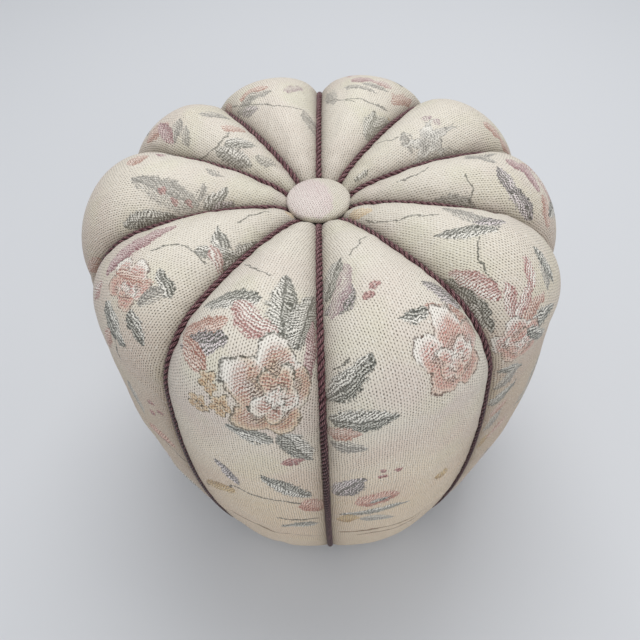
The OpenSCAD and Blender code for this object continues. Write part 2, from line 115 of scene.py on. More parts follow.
def lamp(name, place, size, watts):
    """A square area lamp that faces the middle of the ottoman."""
    data = bpy.data.lights.new(name, "AREA")
    data.size, data.energy = size, watts
    made = new_object(name, data)
    made.location = place
    made.rotation_euler = (middle - Vector(place)).to_track_quat("-Z", "Y").to_euler()


floor_half, middle = 20, Vector((0, 0, 0.2))
floor = new_mesh("floor", [(floor_half * x, floor_half * y, 0)
                           for x, y in ((-1, -1), (1, -1), (1, 1), (-1, 1))], [(0, 1, 2, 3)])
floor_paint = bpy.data.materials.new("floor")
floor_paint.use_nodes = True
floor_shader = floor_paint.node_tree.nodes["Principled BSDF"]
floor_shader.inputs["Base Color"].default_value = (0.62, 0.63, 0.65, 1)
floor_shader.inputs["Roughness"].default_value = 0.75
floor.data.materials.append(floor_paint)

lamp("overhead", (0.15, 0.9, 2.2), 1.6, 29.5)
lamp("front fill", (0.45, -2.4, 1.5), 2.0, 25)

sky = bpy.data.worlds.new("sky")
sky.use_nodes = True
sky_light = sky.node_tree.nodes["Background"]
sky_light.inputs["Color"].default_value = (0.93, 0.96, 1.0, 1)
sky_light.inputs["Strength"].default_value = 0.55
bpy.context.scene.world = sky
print("lamps:", [light.name for light in bpy.data.lights])

# %% [markdown]
# ## The line of a seam
#
# Every seam follows one line from under the button, over the crest and the shoulder, and down
# the side to the hem. It is made of five arcs that run smoothly into each other and a short flat.
# The arcs repeat the sizes of the solids, so the cloth lies where the solids are. Stations number
# the line: a whole number is a row of the solid, and a fraction lies between two rows.

# %% Sizes of the outline
belly_r, belly_h = 0.204, 0.214
crest_r, crest_h = 0.108, 0.363
dip_r, dip_arc_r = 0.048, 0.052
top_arc_r, shoulder_r, side_arc_r, hem_arc_r = 0.276, 0.058, 0.750, 0.024
underside_h, cover_hole_r, hem_flat = 0.015, 0.018, 0.010


def crossing(c1, r1, c2, r2):
    """Where two circles cross, on the upper side."""
    c1, c2 = np.array(c1), np.array(c2)
    d = np.hypot(*(c2 - c1))
    way = (c2 - c1) / d
    a = (r1 * r1 - r2 * r2 + d * d) / (2 * d)
    return c1 + a * way + math.sqrt(r1 * r1 - a * a) * np.array([-way[1], way[0]])


def angle_of(a, b):
    """Direction from a to b in the plane of radius and height."""
    return math.atan2(b[1] - a[1], b[0] - a[0])


top_c = np.array([crest_r, crest_h - top_arc_r])
dip_join_a = math.acos((dip_r - crest_r) / top_arc_r)
dip_c = top_c + (top_arc_r - dip_arc_r) * np.array([math.cos(dip_join_a), math.sin(dip_join_a)])
side_c = np.array([belly_r - side_arc_r, belly_h])
shoulder_c = crossing(side_c, side_arc_r - shoulder_r, top_c, top_arc_r - shoulder_r)
hem_h = underside_h + hem_arc_r
hem_c = np.array([side_c[0] + math.sqrt((side_arc_r - hem_arc_r) ** 2 - (hem_h - belly_h) ** 2),
                  hem_h])
start_a = math.acos((cover_hole_r - dip_c[0]) / dip_arc_r)
joins = [start_a, dip_join_a, angle_of(top_c, shoulder_c), angle_of(side_c, shoulder_c),
         angle_of(side_c, hem_c), -math.pi / 2]
print("directions where arcs meet, in degrees:", [round(math.degrees(a)) for a in joins])

# %% Stations along the line
arc_rows = (3, 4, 6, 5, 3)
top_end, shoulder_end, side_end, hem_end, last_station = 7, 13, 18, 21, 22
arcs = list(zip((dip_c, top_c, shoulder_c, side_c, hem_c),
                (dip_arc_r, top_arc_r, shoulder_r, side_arc_r, hem_arc_r),
                joins[:-1], joins[1:], arc_rows))


def seam_line(k):
    """Radius, height and outward direction of the seams at stations k, as an array of rows."""
    k = np.atleast_1d(np.asarray(k, float))
    rows = np.zeros((len(k), 4))
    first = 0
    for centre, r, a0, a1, n in arcs:
        here = (k >= first) & (k <= first + n)
        a = a0 + (a1 - a0) * (k[here] - first) / n
        out = np.stack([np.cos(a), np.sin(a)], axis=1)
        rows[here] = np.hstack([centre + r * out, out])
        first += n
    flat = k > hem_end
    rows[flat] = [hem_c[0], underside_h, 0, -1]
    rows[flat, 0] -= hem_flat * (k[flat] - hem_end)
    return rows


def so_far(points):
    """Length of a line of points up to each of them."""
    return np.concatenate([[0], np.cumsum(np.linalg.norm(np.diff(points, axis=0), axis=1))])


def even_stations(first, last, step):
    """Stations from first to last, about one step of cloth apart."""
    fine = np.linspace(first, last, 4000)
    line = seam_line(fine)[:, :2]
    length = so_far(line)
    count = max(2, round(length[-1] / step))
    return np.interp(np.linspace(0, length[-1], count + 1), length, fine)


fine_line = seam_line(np.linspace(0, hem_end, 1000))[:, :2]
print("length of a seam: %.3f m" % so_far(fine_line)[-1])

# %% [markdown]
# ## Ten stuffed gores
#
# A gore is a panel of cloth, narrow under the button, wide at the belly and narrower at the hem.
# Between its seams it swells like a cushion. Hand sewing leaves the seams a little uneven and one
# channel slimmer than the rest, and those drifts are what makes the ottoman look made and not
# turned. The swell is a formula, which repeats that of the solids on a much finer grid. The swell
# alone would be as smooth as a balloon, so the slack of the cloth comes from a simulation below.

# %% Swell of a gore
gores = 10
cord_d, cord_gap, cover_t = 0.0053, 0.0003, 0.0012
seam_half = cord_d / 2 + cord_gap
top_swell, shoulder_swell, side_swell, narrow_rise = 0.021, 0.012, 0.004, 0.28
crown_flat, crown_edge = 2.2, 0.65
seam_drift = (-1, 2, 2.5, -1, -2, -2, -2.5, -6, -3, -1)
fullness = (1, 1.2, 1, 1.1, 1, 1, 1.2, 1.1, 0.7, 1)


def seam_angle(i):
    """Direction of seam i from the middle, in radians; seam 0 runs to the front."""
    turns, seam = divmod(i, gores)
    return math.radians(-90 + 360 * turns + 360 / gores * seam + seam_drift[seam])


def swell(g, k):
    """How far the middle of gore g stands out beyond its seams at stations k."""
    span = seam_angle(g + 1) - seam_angle(g)
    wide = fullness[g] * span * gores / (2 * math.pi)
    chord = 2 * seam_line(k)[:, 0] * math.sin(span / 2) - 2 * seam_half
    over_top = np.minimum(top_swell * wide, narrow_rise * chord)
    down_shoulder = ((k - top_end) / (shoulder_end - top_end)) ** 2
    down_side = ((side_end - k) / (side_end - shoulder_end)) ** 2
    round_hem = np.clip(1 - (k - side_end) / (hem_end - side_end), 0, 1)
    return np.select(
        [k <= top_end, k <= shoulder_end, k <= side_end],
        [over_top, wide * (top_swell + (shoulder_swell - top_swell) * down_shoulder),
         wide * (side_swell + (shoulder_swell - side_swell) * down_side)],
        wide * side_swell * round_hem)


def crown(t):
    """Section of a gore across its width: 1 in the middle, 0 at the seams."""
    return (1 - np.abs(t) ** crown_flat) ** crown_edge


def turned(radius, angle, height):
    """Points at a radius, an angle and a height."""
    return np.stack(np.broadcast_arrays(
        radius * np.cos(angle), radius * np.sin(angle), height), axis=-1)


def gore_points(g, k, t, set_in=0.0, seam_in=0.0, plump=1.0):
    """Points of gore g at stations k and at places t across, from -1 to 1."""
    s = seam_line(k)
    mid = (seam_angle(g + 1) + seam_angle(g)) / 2
    half = (seam_angle(g + 1) - seam_angle(g)) / 2 - np.arcsin((seam_half + seam_in) / s[:, 0])
    out = plump * swell(g, k)[:, None] * crown(t) - set_in
    return turned(s[:, :1] + out * s[:, 2:3], mid + t * half[:, None], s[:, 1:2] + out * s[:, 3:4])


print("swell at the edge of the top, in mm:", [
    round(1000 * float(swell(g, np.array([top_end]))[0]), 1) for g in range(gores)])

# %% [markdown]
# ## Slack of the cloth, by simulation
#
# Stuffed cloth is never quite smooth: it is a little longer than the cushion under it, so it
# puckers where the seams hold it back. Blender's Cloth does this well. All ten gores go into one
# coarse mesh with their seams and hems pinned, the cloth is made a few percent too long, and a
# light pressure from inside keeps it out. Only the puckers are kept: the broad swelling is
# smoothed out of the result, because the formula already gives it.

# %% Grid of a gore
sim_step, sim_places = 0.0055, 25


def places_across(count):
    """Places across a gore from seam to seam, closer together near the seams."""
    return np.sin(np.linspace(-math.pi / 2, math.pi / 2, count))


def grid_faces(rows, cols, first=0):
    """Quads of a grid of points, wound so that they face outwards on a gore."""
    i, j = np.meshgrid(np.arange(rows - 1), np.arange(cols - 1), indexing="ij")
    a = first + (i * cols + j).ravel()
    return np.stack([a, a + cols, a + cols + 1, a + 1], axis=1)[:, ::-1]


def smoothed(grid, passes):
    """A grid of values with its short waves averaged away; its edges stay."""
    out = grid.copy()
    for _ in range(passes):
        out[1:-1, 1:-1] = 0.5 * out[1:-1, 1:-1] + 0.125 * (
            out[:-2, 1:-1] + out[2:, 1:-1] + out[1:-1, :-2] + out[1:-1, 2:])
    return out


sim_rows, sim_cols = even_stations(0, last_station, sim_step), places_across(sim_places)
print("grid of a gore: %d by %d points" % (len(sim_rows), len(sim_cols)))

# %% Simulated puckers
sim_frames, smoothing_passes, pucker_share, pucker_limit = 20, 60, 0.4, 0.0012


def simulate_puckers():
    """How far the slack cloth moves from the formula, as one grid of vectors for each gore."""
    start = np.stack([gore_points(g, sim_rows, sim_cols) for g in range(gores)])
    rows, cols = len(sim_rows), len(sim_cols)
    faces = np.concatenate([grid_faces(rows, cols, g * rows * cols) for g in range(gores)])
    cloth = new_mesh("slack cloth", start.reshape(-1, 3), faces)
    held = np.zeros((gores, rows, cols), bool)
    held[:, :, [0, -1]] = True
    held[:, :2] = True
    held[:, sim_rows > side_end] = True
    pins = cloth.vertex_groups.new(name="held")
    pins.add([int(i) for i in np.flatnonzero(held)], 1.0, "REPLACE")
    settings = cloth.modifiers.new("cloth", "CLOTH").settings
    for name, value in dict(
            vertex_group_mass="held", mass=0.35, tension_stiffness=12, compression_stiffness=12,
            shear_stiffness=4, bending_stiffness=0.4, shrink_min=-0.035, use_pressure=True,
            uniform_pressure_force=2.5, quality=5).items():
        setattr(settings, name, value)
    settings.effector_weights.gravity = 0
    scene = bpy.context.scene
    for number in range(1, sim_frames + 1):
        scene.frame_set(number)
    moved = cloth.evaluated_get(bpy.context.evaluated_depsgraph_get()).data
    end = np.empty(len(moved.vertices) * 3)
    moved.vertices.foreach_get("co", end)
    bpy.data.objects.remove(cloth)
    scene.frame_set(1)
    return end.reshape(start.shape) - start


puckers = simulate_puckers()
print("cloth moved by at most %.1f mm" % (1000 * np.abs(puckers).max()))
puckers = pucker_share * np.stack([one - smoothed(one, smoothing_passes) for one in puckers])
size = np.linalg.norm(puckers, axis=3, keepdims=True)
puckers *= pucker_limit * np.tanh(size / pucker_limit) / np.maximum(size, 1e-9)
print("puckers: %.2f mm at most, %.2f mm on average" % (
    1000 * np.abs(puckers).max(), 1000 * np.sqrt((puckers ** 2).sum(-1)).mean()))

# %% Flat map of the cloth
def resample(grid, old_rows, old_cols, new_rows, new_cols):
    """Values of a grid at other rows and columns, along straight lines between its points."""
    tall = np.stack([[np.interp(new_rows, old_rows, grid[:, j, c]) for j in range(len(old_cols))]
                     for c in range(grid.shape[2])])
    return np.stack([[np.interp(new_cols, old_cols, tall[c][:, i]) for i in range(len(new_rows))]
                     for c in range(grid.shape[2])], axis=2)


def cloth_map(points):
    """Place on the flat cloth of every point: across from the middle, and along from the button."""
    across = np.linalg.norm(np.diff(points, axis=1), axis=2)
    u = np.concatenate([np.zeros((len(points), 1)), np.cumsum(across, axis=1)], axis=1)
    centre = points.shape[1] // 2
    v = np.repeat(so_far(points[:, centre])[:, None], points.shape[1], 1)
    return np.stack([u - u[:, centre:centre + 1], v], axis=2)


def add_cloth_map(obj, places):
    """Stores a place on the flat cloth for every vertex as the object's UV map."""
    layer = obj.data.uv_layers.new(name="cloth")
    corner = np.empty(len(obj.data.loops), int)
    obj.data.loops.foreach_get("vertex_index", corner)
    layer.data.foreach_set("uv", places.reshape(-1, 2)[corner].ravel())


def store(mesh, name, numbers):
    """Stores a number for every vertex, for a node tree to read."""
    mesh.attributes.new(name, "FLOAT", "POINT").data.foreach_set(
        "value", np.ascontiguousarray(numbers, dtype=float).ravel())


def thicken(obj, thickness):
    """Gives cloth its thickness, inwards."""
    solid = obj.modifiers.new("thickness", "SOLIDIFY")
    solid.thickness, solid.offset = thickness, -1
    return obj


# %% Fine mesh of a gore
# The last size is how far the darkening beside each seam reaches: partly dirt, partly painted shade.
cover_step, cover_places, soil_and_shade_reach = 0.0026, 57, 0.0045
cover_rows, cover_cols = even_stations(0, last_station, cover_step), places_across(cover_places)


def make_gore(g):
    """One panel of the cover, with the thickness of its cloth."""
    smooth = gore_points(g, cover_rows, cover_cols)
    slack = resample(puckers[g], sim_rows, sim_cols, cover_rows, cover_cols)
    gore = new_mesh("tapestry_gore_%d" % (g + 1), (smooth + slack).reshape(-1, 3),
                    grid_faces(len(cover_rows), len(cover_cols)))
    flat = cloth_map(smooth)
    to_seam = np.minimum(flat[:, :, 0] - flat[:, :1, 0], flat[:, -1:, 0] - flat[:, :, 0])
    add_cloth_map(gore, flat)
    # Darker towards the seams, kept as an attribute for the material: partly dirt, partly painted
    # shade in the creases between gores.
    store(gore.data, "soil", np.exp(-to_seam / soil_and_shade_reach))
    gore.data.shade_smooth()
    return thicken(gore, cover_t)


covers = [make_gore(g) for g in range(gores)]
print("gores: %d faces each" % len(covers[0].data.polygons))
cloth_length = cloth_map(gore_points(0, cover_rows, cover_cols))[-1, 0, 1]
print("cloth from button to hem: %.0f mm" % (1000 * cloth_length))

# %% [markdown]
# ## Wadding and foam
#
# Under each gore lies its own roll of loose wadding, and under all of them a disc and a band of
# foam. They are out of sight once the cover is on, and still they are pieces of their own with
# true shapes: each roll is the space between the slack cloth and the foam, closed all round.

# %% Rolls of wadding
wad_clear = 0.0006
wad_rows = even_stations(0, hem_end - 1, sim_step)
foam_set = cord_d / 2 + cord_gap


def tidy_mesh(obj):
    """Merges doubled points, turns every face outwards and shades it smooth."""
    work = bmesh.new()
    work.from_mesh(obj.data)
    bmesh.ops.remove_doubles(work, verts=work.verts, dist=1e-6)
    bmesh.ops.recalc_face_normals(work, faces=work.faces)
    for face in work.faces:
        face.smooth = True
    work.to_mesh(obj.data)
    work.free()
    return obj


def closed_between(name, outer, inner):
    """A closed mesh between two grids of points with as many rows and columns."""
    rows, cols = outer.shape[:2]
    index = np.arange(rows * cols).reshape(rows, cols)
    ring = np.concatenate([index[0], index[1:, -1], index[-1, -2::-1], index[-2:0:-1, 0]])
    onward = np.roll(ring, -1)
    faces = np.concatenate([
        grid_faces(rows, cols), grid_faces(rows, cols, rows * cols)[:, ::-1],
        np.stack([ring, onward, onward + rows * cols, ring + rows * cols], axis=1)])
    points = np.concatenate([outer.reshape(-1, 3), inner.reshape(-1, 3)])
    return tidy_mesh(new_mesh(name, points, faces))


def make_wadding(g):
    """The roll of wadding between gore g and the foam."""
    slack = resample(puckers[g], sim_rows, sim_cols, wad_rows, sim_cols)
    outer = gore_points(g, wad_rows, sim_cols, cover_t + wad_clear, cover_t + wad_clear) + slack
    inner = gore_points(g, wad_rows, sim_cols, foam_set - cord_gap, cover_t + wad_clear, 0)
    return closed_between("wadding_roll_%d" % (g + 1), outer, inner)


wadding_rolls = [make_wadding(g) for g in range(gores)]
print("rolls of wadding:", len(wadding_rolls))

# %% Sizes of the foam
board_t, wall_t, top_pad_t, side_pad_t = 0.012, 0.0035, 0.052, 0.026
pad_hole_r, pad_fit, pad_round, foam_step = 0.008, 0.0001, 0.0015, 0.004
deck_z = crest_h - foam_set - top_pad_t
wall_z = underside_h + cover_t + board_t / 3
wall_foot_r = hem_c[0] - cord_gap
wall_head_r = side_c[0] + math.sqrt(
    (side_arc_r - foam_set) ** 2 - (deck_z - belly_h) ** 2) - side_pad_t - wall_t


def wall_out(z):
    """Outer radius of the tapered wall at a height."""
    return wall_foot_r + (wall_head_r - wall_foot_r) * (z - wall_z) / (deck_z - wall_z) + wall_t


split_r = wall_out(deck_z)
print("foam disc: %.0f mm across, %.0f mm above the floor" % (2000 * split_r, 1000 * deck_z))

# %% Turned solids
def ring_faces(bands, rings, spokes):
    """Quads of bands between rings of points; the last band may end on the first ring."""
    i, j = np.meshgrid(np.arange(bands), np.arange(spokes), indexing="ij")
    after, beside = (i + 1) % rings, (j + 1) % spokes
    return np.stack([i * spokes + j, after * spokes + j, after * spokes + beside,
                     i * spokes + beside], axis=2).reshape(-1, 4)


def full_turn(count):
    """Evenly spread angles of a whole turn."""
    return np.linspace(0, 2 * math.pi, count, endpoint=False)


def revolved(name, profile, segments=128):
    """A solid turned from a closed profile of radius and height."""
    profile = np.array(profile)
    points = turned(profile[:, :1], full_turn(segments), profile[:, 1:])
    return tidy_mesh(new_mesh(name, points.reshape(-1, 3),
                              ring_faces(len(profile), len(profile), segments)))


def soften(obj, width, segments=2):
    """Rounds the sharp edges of a piece by a bevel."""
    bevel = obj.modifiers.new("soft edge", "BEVEL")
    bevel.width, bevel.segments, bevel.limit_method = width, segments, "ANGLE"
    bevel.angle_limit = math.radians(40)
    return obj


# %% Disc and band of foam
foam_rows = even_stations(0, hem_end - 1, foam_step)
foam_line = seam_line(foam_rows)
foam_line = foam_line[:, :2] - foam_set * foam_line[:, 2:]
on_top = (foam_line[:, 0] < split_r) & (foam_rows < shoulder_end)
split_z = float(np.interp(split_r, foam_line[foam_rows < shoulder_end, 0],
                          foam_line[foam_rows < shoulder_end, 1]))
clear = np.hypot(foam_line[:, 0] - split_r, foam_line[:, 1] - split_z) > 2 * pad_round
foam_disc = soften(revolved("foam_disc", [
    (pad_hole_r, deck_z), (pad_hole_r, foam_line[0, 1]), *foam_line[on_top & clear],
    (split_r, split_z), (split_r, deck_z)]), pad_round)
foot_z = foam_line[-1, 1]
foam_band = soften(revolved("foam_band", [
    (split_r + pad_fit, deck_z), (split_r + pad_fit, split_z - pad_fit),
    *foam_line[~on_top & clear], (wall_out(foot_z) + pad_fit, foot_z)]), pad_round / 5)
print("foam disc and band meet %.0f mm above the floor" % (1000 * split_z))

# %% [markdown]
# ## Twisted cord
#
# The cord is three strands of plum rayon laid up to the left like any rope. It follows a path, so
# Geometry Nodes makes it: the seam line is copied once for each strand, every copy is wound round
# the line as a helix, and a round section is swept along it. Three attributes go with the mesh for
# the finish: the length along the cord, the place round the strand, and the distance from the
# middle of the cord, which is small in the grooves between the strands. First come a few words
# that let the node trees of this lesson be written as sums. A colour is written as it looks on a
# screen, such as "#e2dacc", and turned into the linear numbers that nodes want.

# %% Words for node trees
def plug(value, socket):
    """Links a wire into a socket, or writes a plain value or a screen colour there."""
    if isinstance(value, Wire):
        socket.id_data.links.new(value.socket, socket)
    elif isinstance(value, str) and value[0] == "#":
        linear = [(int(value[i:i + 2], 16) / 255) ** 2.2 for i in (1, 3, 5)]
        socket.default_value = (*linear, 1.0)
    else:
        socket.default_value = value


def node(tree, kind, inputs, out=0, **settings):
    """Adds a node, sets its properties, fills or links its inputs, and gives an output as a wire."""
    made = tree.nodes.new(kind if kind.startswith("Geometry") else "ShaderNode" + kind)
    for key, value in settings.items():
        setattr(made, key, value)
    for key, value in inputs.items():
        plug(value, made.inputs[key])
    return Wire(made.outputs[out])


def outputs(wire):
    """Every output of the node that a wire comes from, as wires by name."""
    return {socket.name: Wire(socket) for socket in wire.socket.node.outputs}


class Wire:
    """A value that runs through a node tree. Sums on wires become Math nodes."""

    def __init__(self, socket):
        self.socket, self.tree = socket, socket.id_data

    def math(self, operation, *others):
        """A Math node on this wire and other wires or numbers."""
        return node(self.tree, "Math", dict(enumerate((self, *others))), operation=operation)

    def vector(self, operation, *others, out=0, **named):
        """A Vector Math node on this wire and other wires or vectors."""
        return node(self.tree, "VectorMath", {**dict(enumerate((self, *others))), **named}, out,
                    operation=operation)

    def __add__(self, other):
        return self.math("ADD", other)

    def __sub__(self, other):
        return self.math("SUBTRACT", other)

    def __mul__(self, other):
        return self.math("MULTIPLY", other)

    def __truediv__(self, other):
        return self.math("DIVIDE", other)

    def __rsub__(self, other):
        return self * -1 + other

    def __rtruediv__(self, other):
        return node(self.tree, "Math", {0: other, 1: self}, operation="DIVIDE")

    def __abs__(self):
        return self.math("ABSOLUTE")

    def fade(self, start, end):
        """1 up to start, then smoothly down to 0 at end; start may be the higher one."""
        return node(self.tree, "MapRange", {0: self, 1: start, 2: end, 3: 1.0, 4: 0.0},
                    interpolation_type="SMOOTHSTEP")


def new_tree(name, kind, inputs, results):
    """A node group with named sockets; gives the tree, its inputs as wires, and its outputs."""
    tree = bpy.data.node_groups.new(name, kind)
    for title, socket, value in inputs:
        made = tree.interface.new_socket(title, in_out="INPUT", socket_type="NodeSocket" + socket)
        if value is not None:
            plug(value, made)
    for title, socket in results:
        tree.interface.new_socket(title, in_out="OUTPUT", socket_type="NodeSocket" + socket)
    given, result = tree.nodes.new("NodeGroupInput"), tree.nodes.new("NodeGroupOutput")
    return tree, outputs(Wire(given.outputs[0])), result.inputs


# %% Node tree of the cord
strand_count, strand_r, helix_r, lay, strand_sides = 3, 0.00145, 0.0017, 0.016, 9


def cord_tree():
    """Winds strands round the edges of a mesh and gives them a round section."""
    tree, given, result = new_tree("twisted cord", "GeometryNodeTree", [
        ("Geometry", "Geometry", None), ("Strands", "Int", strand_count), ("Lay", "Float", lay),
        ("Helix Radius", "Float", helix_r), ("Strand Radius", "Float", strand_r),
        ("Sides", "Int", strand_sides), ("Cord", "Material", None)], [("Geometry", "Geometry")])

    def named(name, kind):
        """Reads an attribute of the mesh."""
        return node(tree, "GeometryNodeInputNamedAttribute", {"Name": name}, data_type=kind)

    def stored(geometry, name, value, kind):
        """Writes a value on every point."""
        return node(tree, "GeometryNodeStoreNamedAttribute",
                    {"Geometry": geometry, "Name": name, "Value": value}, data_type=kind,
                    domain="POINT")

    line = node(tree, "GeometryNodeMeshToCurve", {"Mesh": given["Geometry"]})
    copies = node(tree, "GeometryNodeDuplicateElements",
                  {"Geometry": line, "Amount": given["Strands"]}, domain="SPLINE")
    copy_share = outputs(copies)["Duplicate Index"] / given["Strands"]
    turn = (named("along", "FLOAT") / given["Lay"] + copy_share) * (-2 * math.pi)
    tangent = node(tree, "GeometryNodeInputTangent", {})
    out = named("outward", "FLOAT_VECTOR")
    aside = out.vector("CROSS_PRODUCT", tangent)
    up = out.vector("SCALE", Scale=given["Helix Radius"] * turn.math("COSINE"))
    side = aside.vector("SCALE", Scale=given["Helix Radius"] * turn.math("SINE"))
    place = node(tree, "GeometryNodeInputPosition", {})
    wound = node(tree, "GeometryNodeSetPosition", {
        "Geometry": stored(copies, "core", place, "FLOAT_VECTOR"), "Offset": up.vector("ADD", side)})
    ring = node(tree, "GeometryNodeCurvePrimitiveCircle",
                {"Resolution": given["Sides"], "Radius": given["Strand Radius"]}, mode="RADIUS")
    marked = stored(ring, "around", place.vector("NORMALIZE"), "FLOAT_VECTOR")
    tube = node(tree, "GeometryNodeCurveToMesh",
                {"Curve": wound, "Profile Curve": marked, "Fill Caps": True})
    far = place.vector("DISTANCE", named("core", "FLOAT_VECTOR"), out="Value")
    real = node(tree, "GeometryNodeRealizeInstances",
                {"Geometry": stored(tube, "reach", far, "FLOAT")})
    finish = node(tree, "GeometryNodeSetMaterial", {"Geometry": real, "Material": given["Cord"]})
    plug(finish, result["Geometry"])
    return tree


twist = cord_tree()
print("nodes in the tree of the cord:", len(twist.nodes))

# %% Cords in the seams
cord_step, cord_lift = 0.0011, 0.0011


def baked(obj, name):
    """Turns an object with live modifiers into a plain mesh object of its own."""
    depsgraph = bpy.context.evaluated_depsgraph_get()
    mesh = bpy.data.meshes.new_from_object(obj.evaluated_get(depsgraph))
    obj.modifiers.clear()
    bpy.data.objects.remove(obj)
    mesh.name = name
    return new_object(name, mesh)


def make_cord(i, material):
    """The cord of seam i, from under the button to the edge of the base board."""
    k = even_stations(0, hem_end, cord_step)
    s, a = seam_line(k), seam_angle(i)
    outward = turned(s[:, 2], a, s[:, 3])
    points = turned(s[:, 0], a, s[:, 1]) + cord_lift * outward
    line = bpy.data.meshes.new("line")
    line.from_pydata(points.tolist(), [(j, j + 1) for j in range(len(k) - 1)], [])
    line.attributes.new("outward", "FLOAT_VECTOR", "POINT").data.foreach_set(
        "vector", outward.ravel())
    store(line, "along", so_far(points))
    holder = new_object("cord line", line)
    winding = holder.modifiers.new("winding", "NODES")
    winding.node_group = twist
    sizes = {"Strands": strand_count, "Lay": lay, "Helix Radius": helix_r,
             "Strand Radius": strand_r, "Sides": strand_sides, "Cord": material}
    for socket in twist.interface.items_tree:
        if socket.in_out == "INPUT" and socket.name in sizes:
            winding[socket.identifier] = sizes[socket.name]
    cord = baked(holder, "twisted_cord_%d" % (i + 1))
    cord.data.shade_smooth()
    return cord

# %% [markdown]
# ## Covered button
#
# A metal mould under a round of the same cloth, gathered in behind. The cloth is turned from the
# button's section on a fine polar grid, and small gathers are pressed into its rim, deeper
# towards the back, where the slack of a flat round of cloth has to go.

# %% Cap of the button
button_r, button_h, button_rim = 0.028, 0.012, 0.004
button_opening, gather_depth, gather_count, gather_from = 0.0229, 0.0005, 26, 0.55
button_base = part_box("button_cover")[0][2]
button_spokes = 208
cap_r = ((button_r - button_rim) ** 2 + (button_h - button_rim) ** 2 - button_rim ** 2) / (
    2 * (button_h - 2 * button_rim))


def button_profile():
    """Radius and height from the opening behind, round the rim, to the middle of the top."""
    flat_r = button_r - button_rim
    rim_end = math.atan2(button_rim - (button_h - cap_r), flat_r)
    under = [(x, 0) for x in np.linspace(button_opening, flat_r, 3)[:-1]]
    rim = [(flat_r + button_rim * math.cos(a), button_rim + button_rim * math.sin(a))
           for a in np.linspace(-math.pi / 2, rim_end, 16)]
    top = [(cap_r * math.cos(a), button_h - cap_r + cap_r * math.sin(a))
           for a in np.linspace(rim_end, math.pi / 2, 30)[1:]]
    return np.array(under + rim + top)


def make_button():
    """The gathered cloth cap."""
    profile = button_profile()
    profile[-1, 0] = 0
    turn = full_turn(button_spokes)
    draw = np.random.default_rng(5)
    phase = draw.uniform(0, 2 * math.pi, 3)
    pull = 1 + 0.5 * np.sin(3 * turn + phase[0]) * np.sin(5 * turn + phase[1])
    wave = np.abs(np.sin(gather_count / 2 * turn + 0.9 * np.sin(4 * turn + phase[2])))
    reach = np.clip((profile[:, 0] / button_r - gather_from) / (1 - gather_from), 0, 1) ** 2
    low = np.clip(1 - profile[:, 1] / button_h, 0, 1)
    dent = gather_depth * pull * (1 - wave) * (reach * (0.35 + 0.65 * low))[:, None]
    radius = np.maximum(profile[:, :1] - dent, 0)
    points = turned(radius, turn, button_base + profile[:, 1:])
    rows = len(profile)
    faces = ring_faces(rows - 1, rows, button_spokes)[:, [0, 3, 2, 1]]
    cap = new_mesh("covered_button", points.reshape(-1, 3), faces)
    add_cloth_map(cap, turned(so_far(profile[::-1])[::-1, None], turn, 0)[:, :, :2])
    # Darker towards the back of the button, where it sinks into the cloth: painted shade, kept in the
    # same attribute as the seams.
    store(cap.data, "soil", np.exp(-(points[:, :, 2] - button_base) / (0.25 * button_h)))
    return thicken(tidy_mesh(cap), cover_t)


button = make_button()
print("button: %.0f mm across, its back at %.1f mm" % (2000 * button_r, 1000 * button_base))

# %% Wadding of the button
button_wad_t, wad_gap = 0.0024, 0.0003


def button_shell(set_in):
    """The button's section set in from the outside, from the opening to the axis."""
    profile = button_profile()
    step = np.gradient(profile, axis=0)
    inward = np.stack([-step[:, 1], step[:, 0]], axis=1)
    inward /= np.linalg.norm(inward, axis=1, keepdims=True)
    moved = profile + set_in * inward
    keep = (profile[:, 1] > cover_t + set_in) & (moved[:, 1] > cover_t)
    moved = moved[keep]
    moved[:, 0] = np.maximum(moved[:, 0], 0)
    moved[-1, 0] = 0
    return moved + [0, button_base]


wad_outside, wad_inside = cover_t + gather_depth + wad_gap, cover_t + button_wad_t
button_wadding = revolved("button_padding", [
    *button_shell(wad_outside), *button_shell(wad_inside)[::-1]], segments=96)
print("wadding of the button: %.1f mm thick" % (1000 * (wad_inside - wad_outside)))

# %% [markdown]
# ## Dust cover
#
# Black cambric closes the underside. It is cut round, turned under at its edge, stapled in line
# with the seams and nailed down again by the glides, and between those it hangs a millimetre or
# two. The sag is a formula of how far a point lies from what holds it.

# %% Sheet under the base
hem_edge_r = hem_c[0] - hem_flat
dust_lap, dust_t, dust_space, tack_head_t = 0.0065, 0.0004, 0.0008, 0.0012
dust_r = hem_edge_r + dust_lap
dust_top = underside_h - tack_head_t
staple_r, glide_r, glides = hem_edge_r - 0.004, hem_edge_r - 0.0266, 4
dust_rings, dust_spokes = 64, 192
sag_depth, ripple_depth, staple_hold, glide_hold = 0.0022, 0.0005, 0.020, 0.030


def make_dust_cover():
    """A round of cloth that sags between its staples and its glides."""
    r = dust_r * np.linspace(0, 1, dust_rings)[:, None]
    turn = full_turn(dust_spokes)
    x, y = r * np.cos(turn), r * np.sin(turn)
    held = np.zeros(x.shape)
    for angle, radius, reach in [(seam_angle(i), staple_r, staple_hold) for i in range(gores)] + [
            (2 * math.pi * i / glides, glide_r, glide_hold) for i in range(glides)]:
        far = np.hypot(x - radius * math.cos(angle), y - radius * math.sin(angle))
        held = np.maximum(held, np.exp(-(far / reach) ** 2))
    ripple = np.sin(10 * turn + 0.4) * (r / dust_r) ** 4 * ripple_depth
    shallow = 1 - 0.75 * (r / dust_r) ** 2
    drop = (1 - held) * (sag_depth * shallow + np.abs(ripple))
    points = np.stack([x, y, dust_top - dust_space - drop], axis=2)
    sheet = new_mesh("dust_cloth", points.reshape(-1, 3),
                     ring_faces(dust_rings - 1, dust_rings, dust_spokes))
    tidy_mesh(sheet)
    if sheet.data.polygons[0].normal.z > 0:
        sheet.data.flip_normals()
    return thicken(sheet, dust_t)


dust_cloth = make_dust_cover()
print("dust cover: %.0f mm across" % (2000 * dust_r))
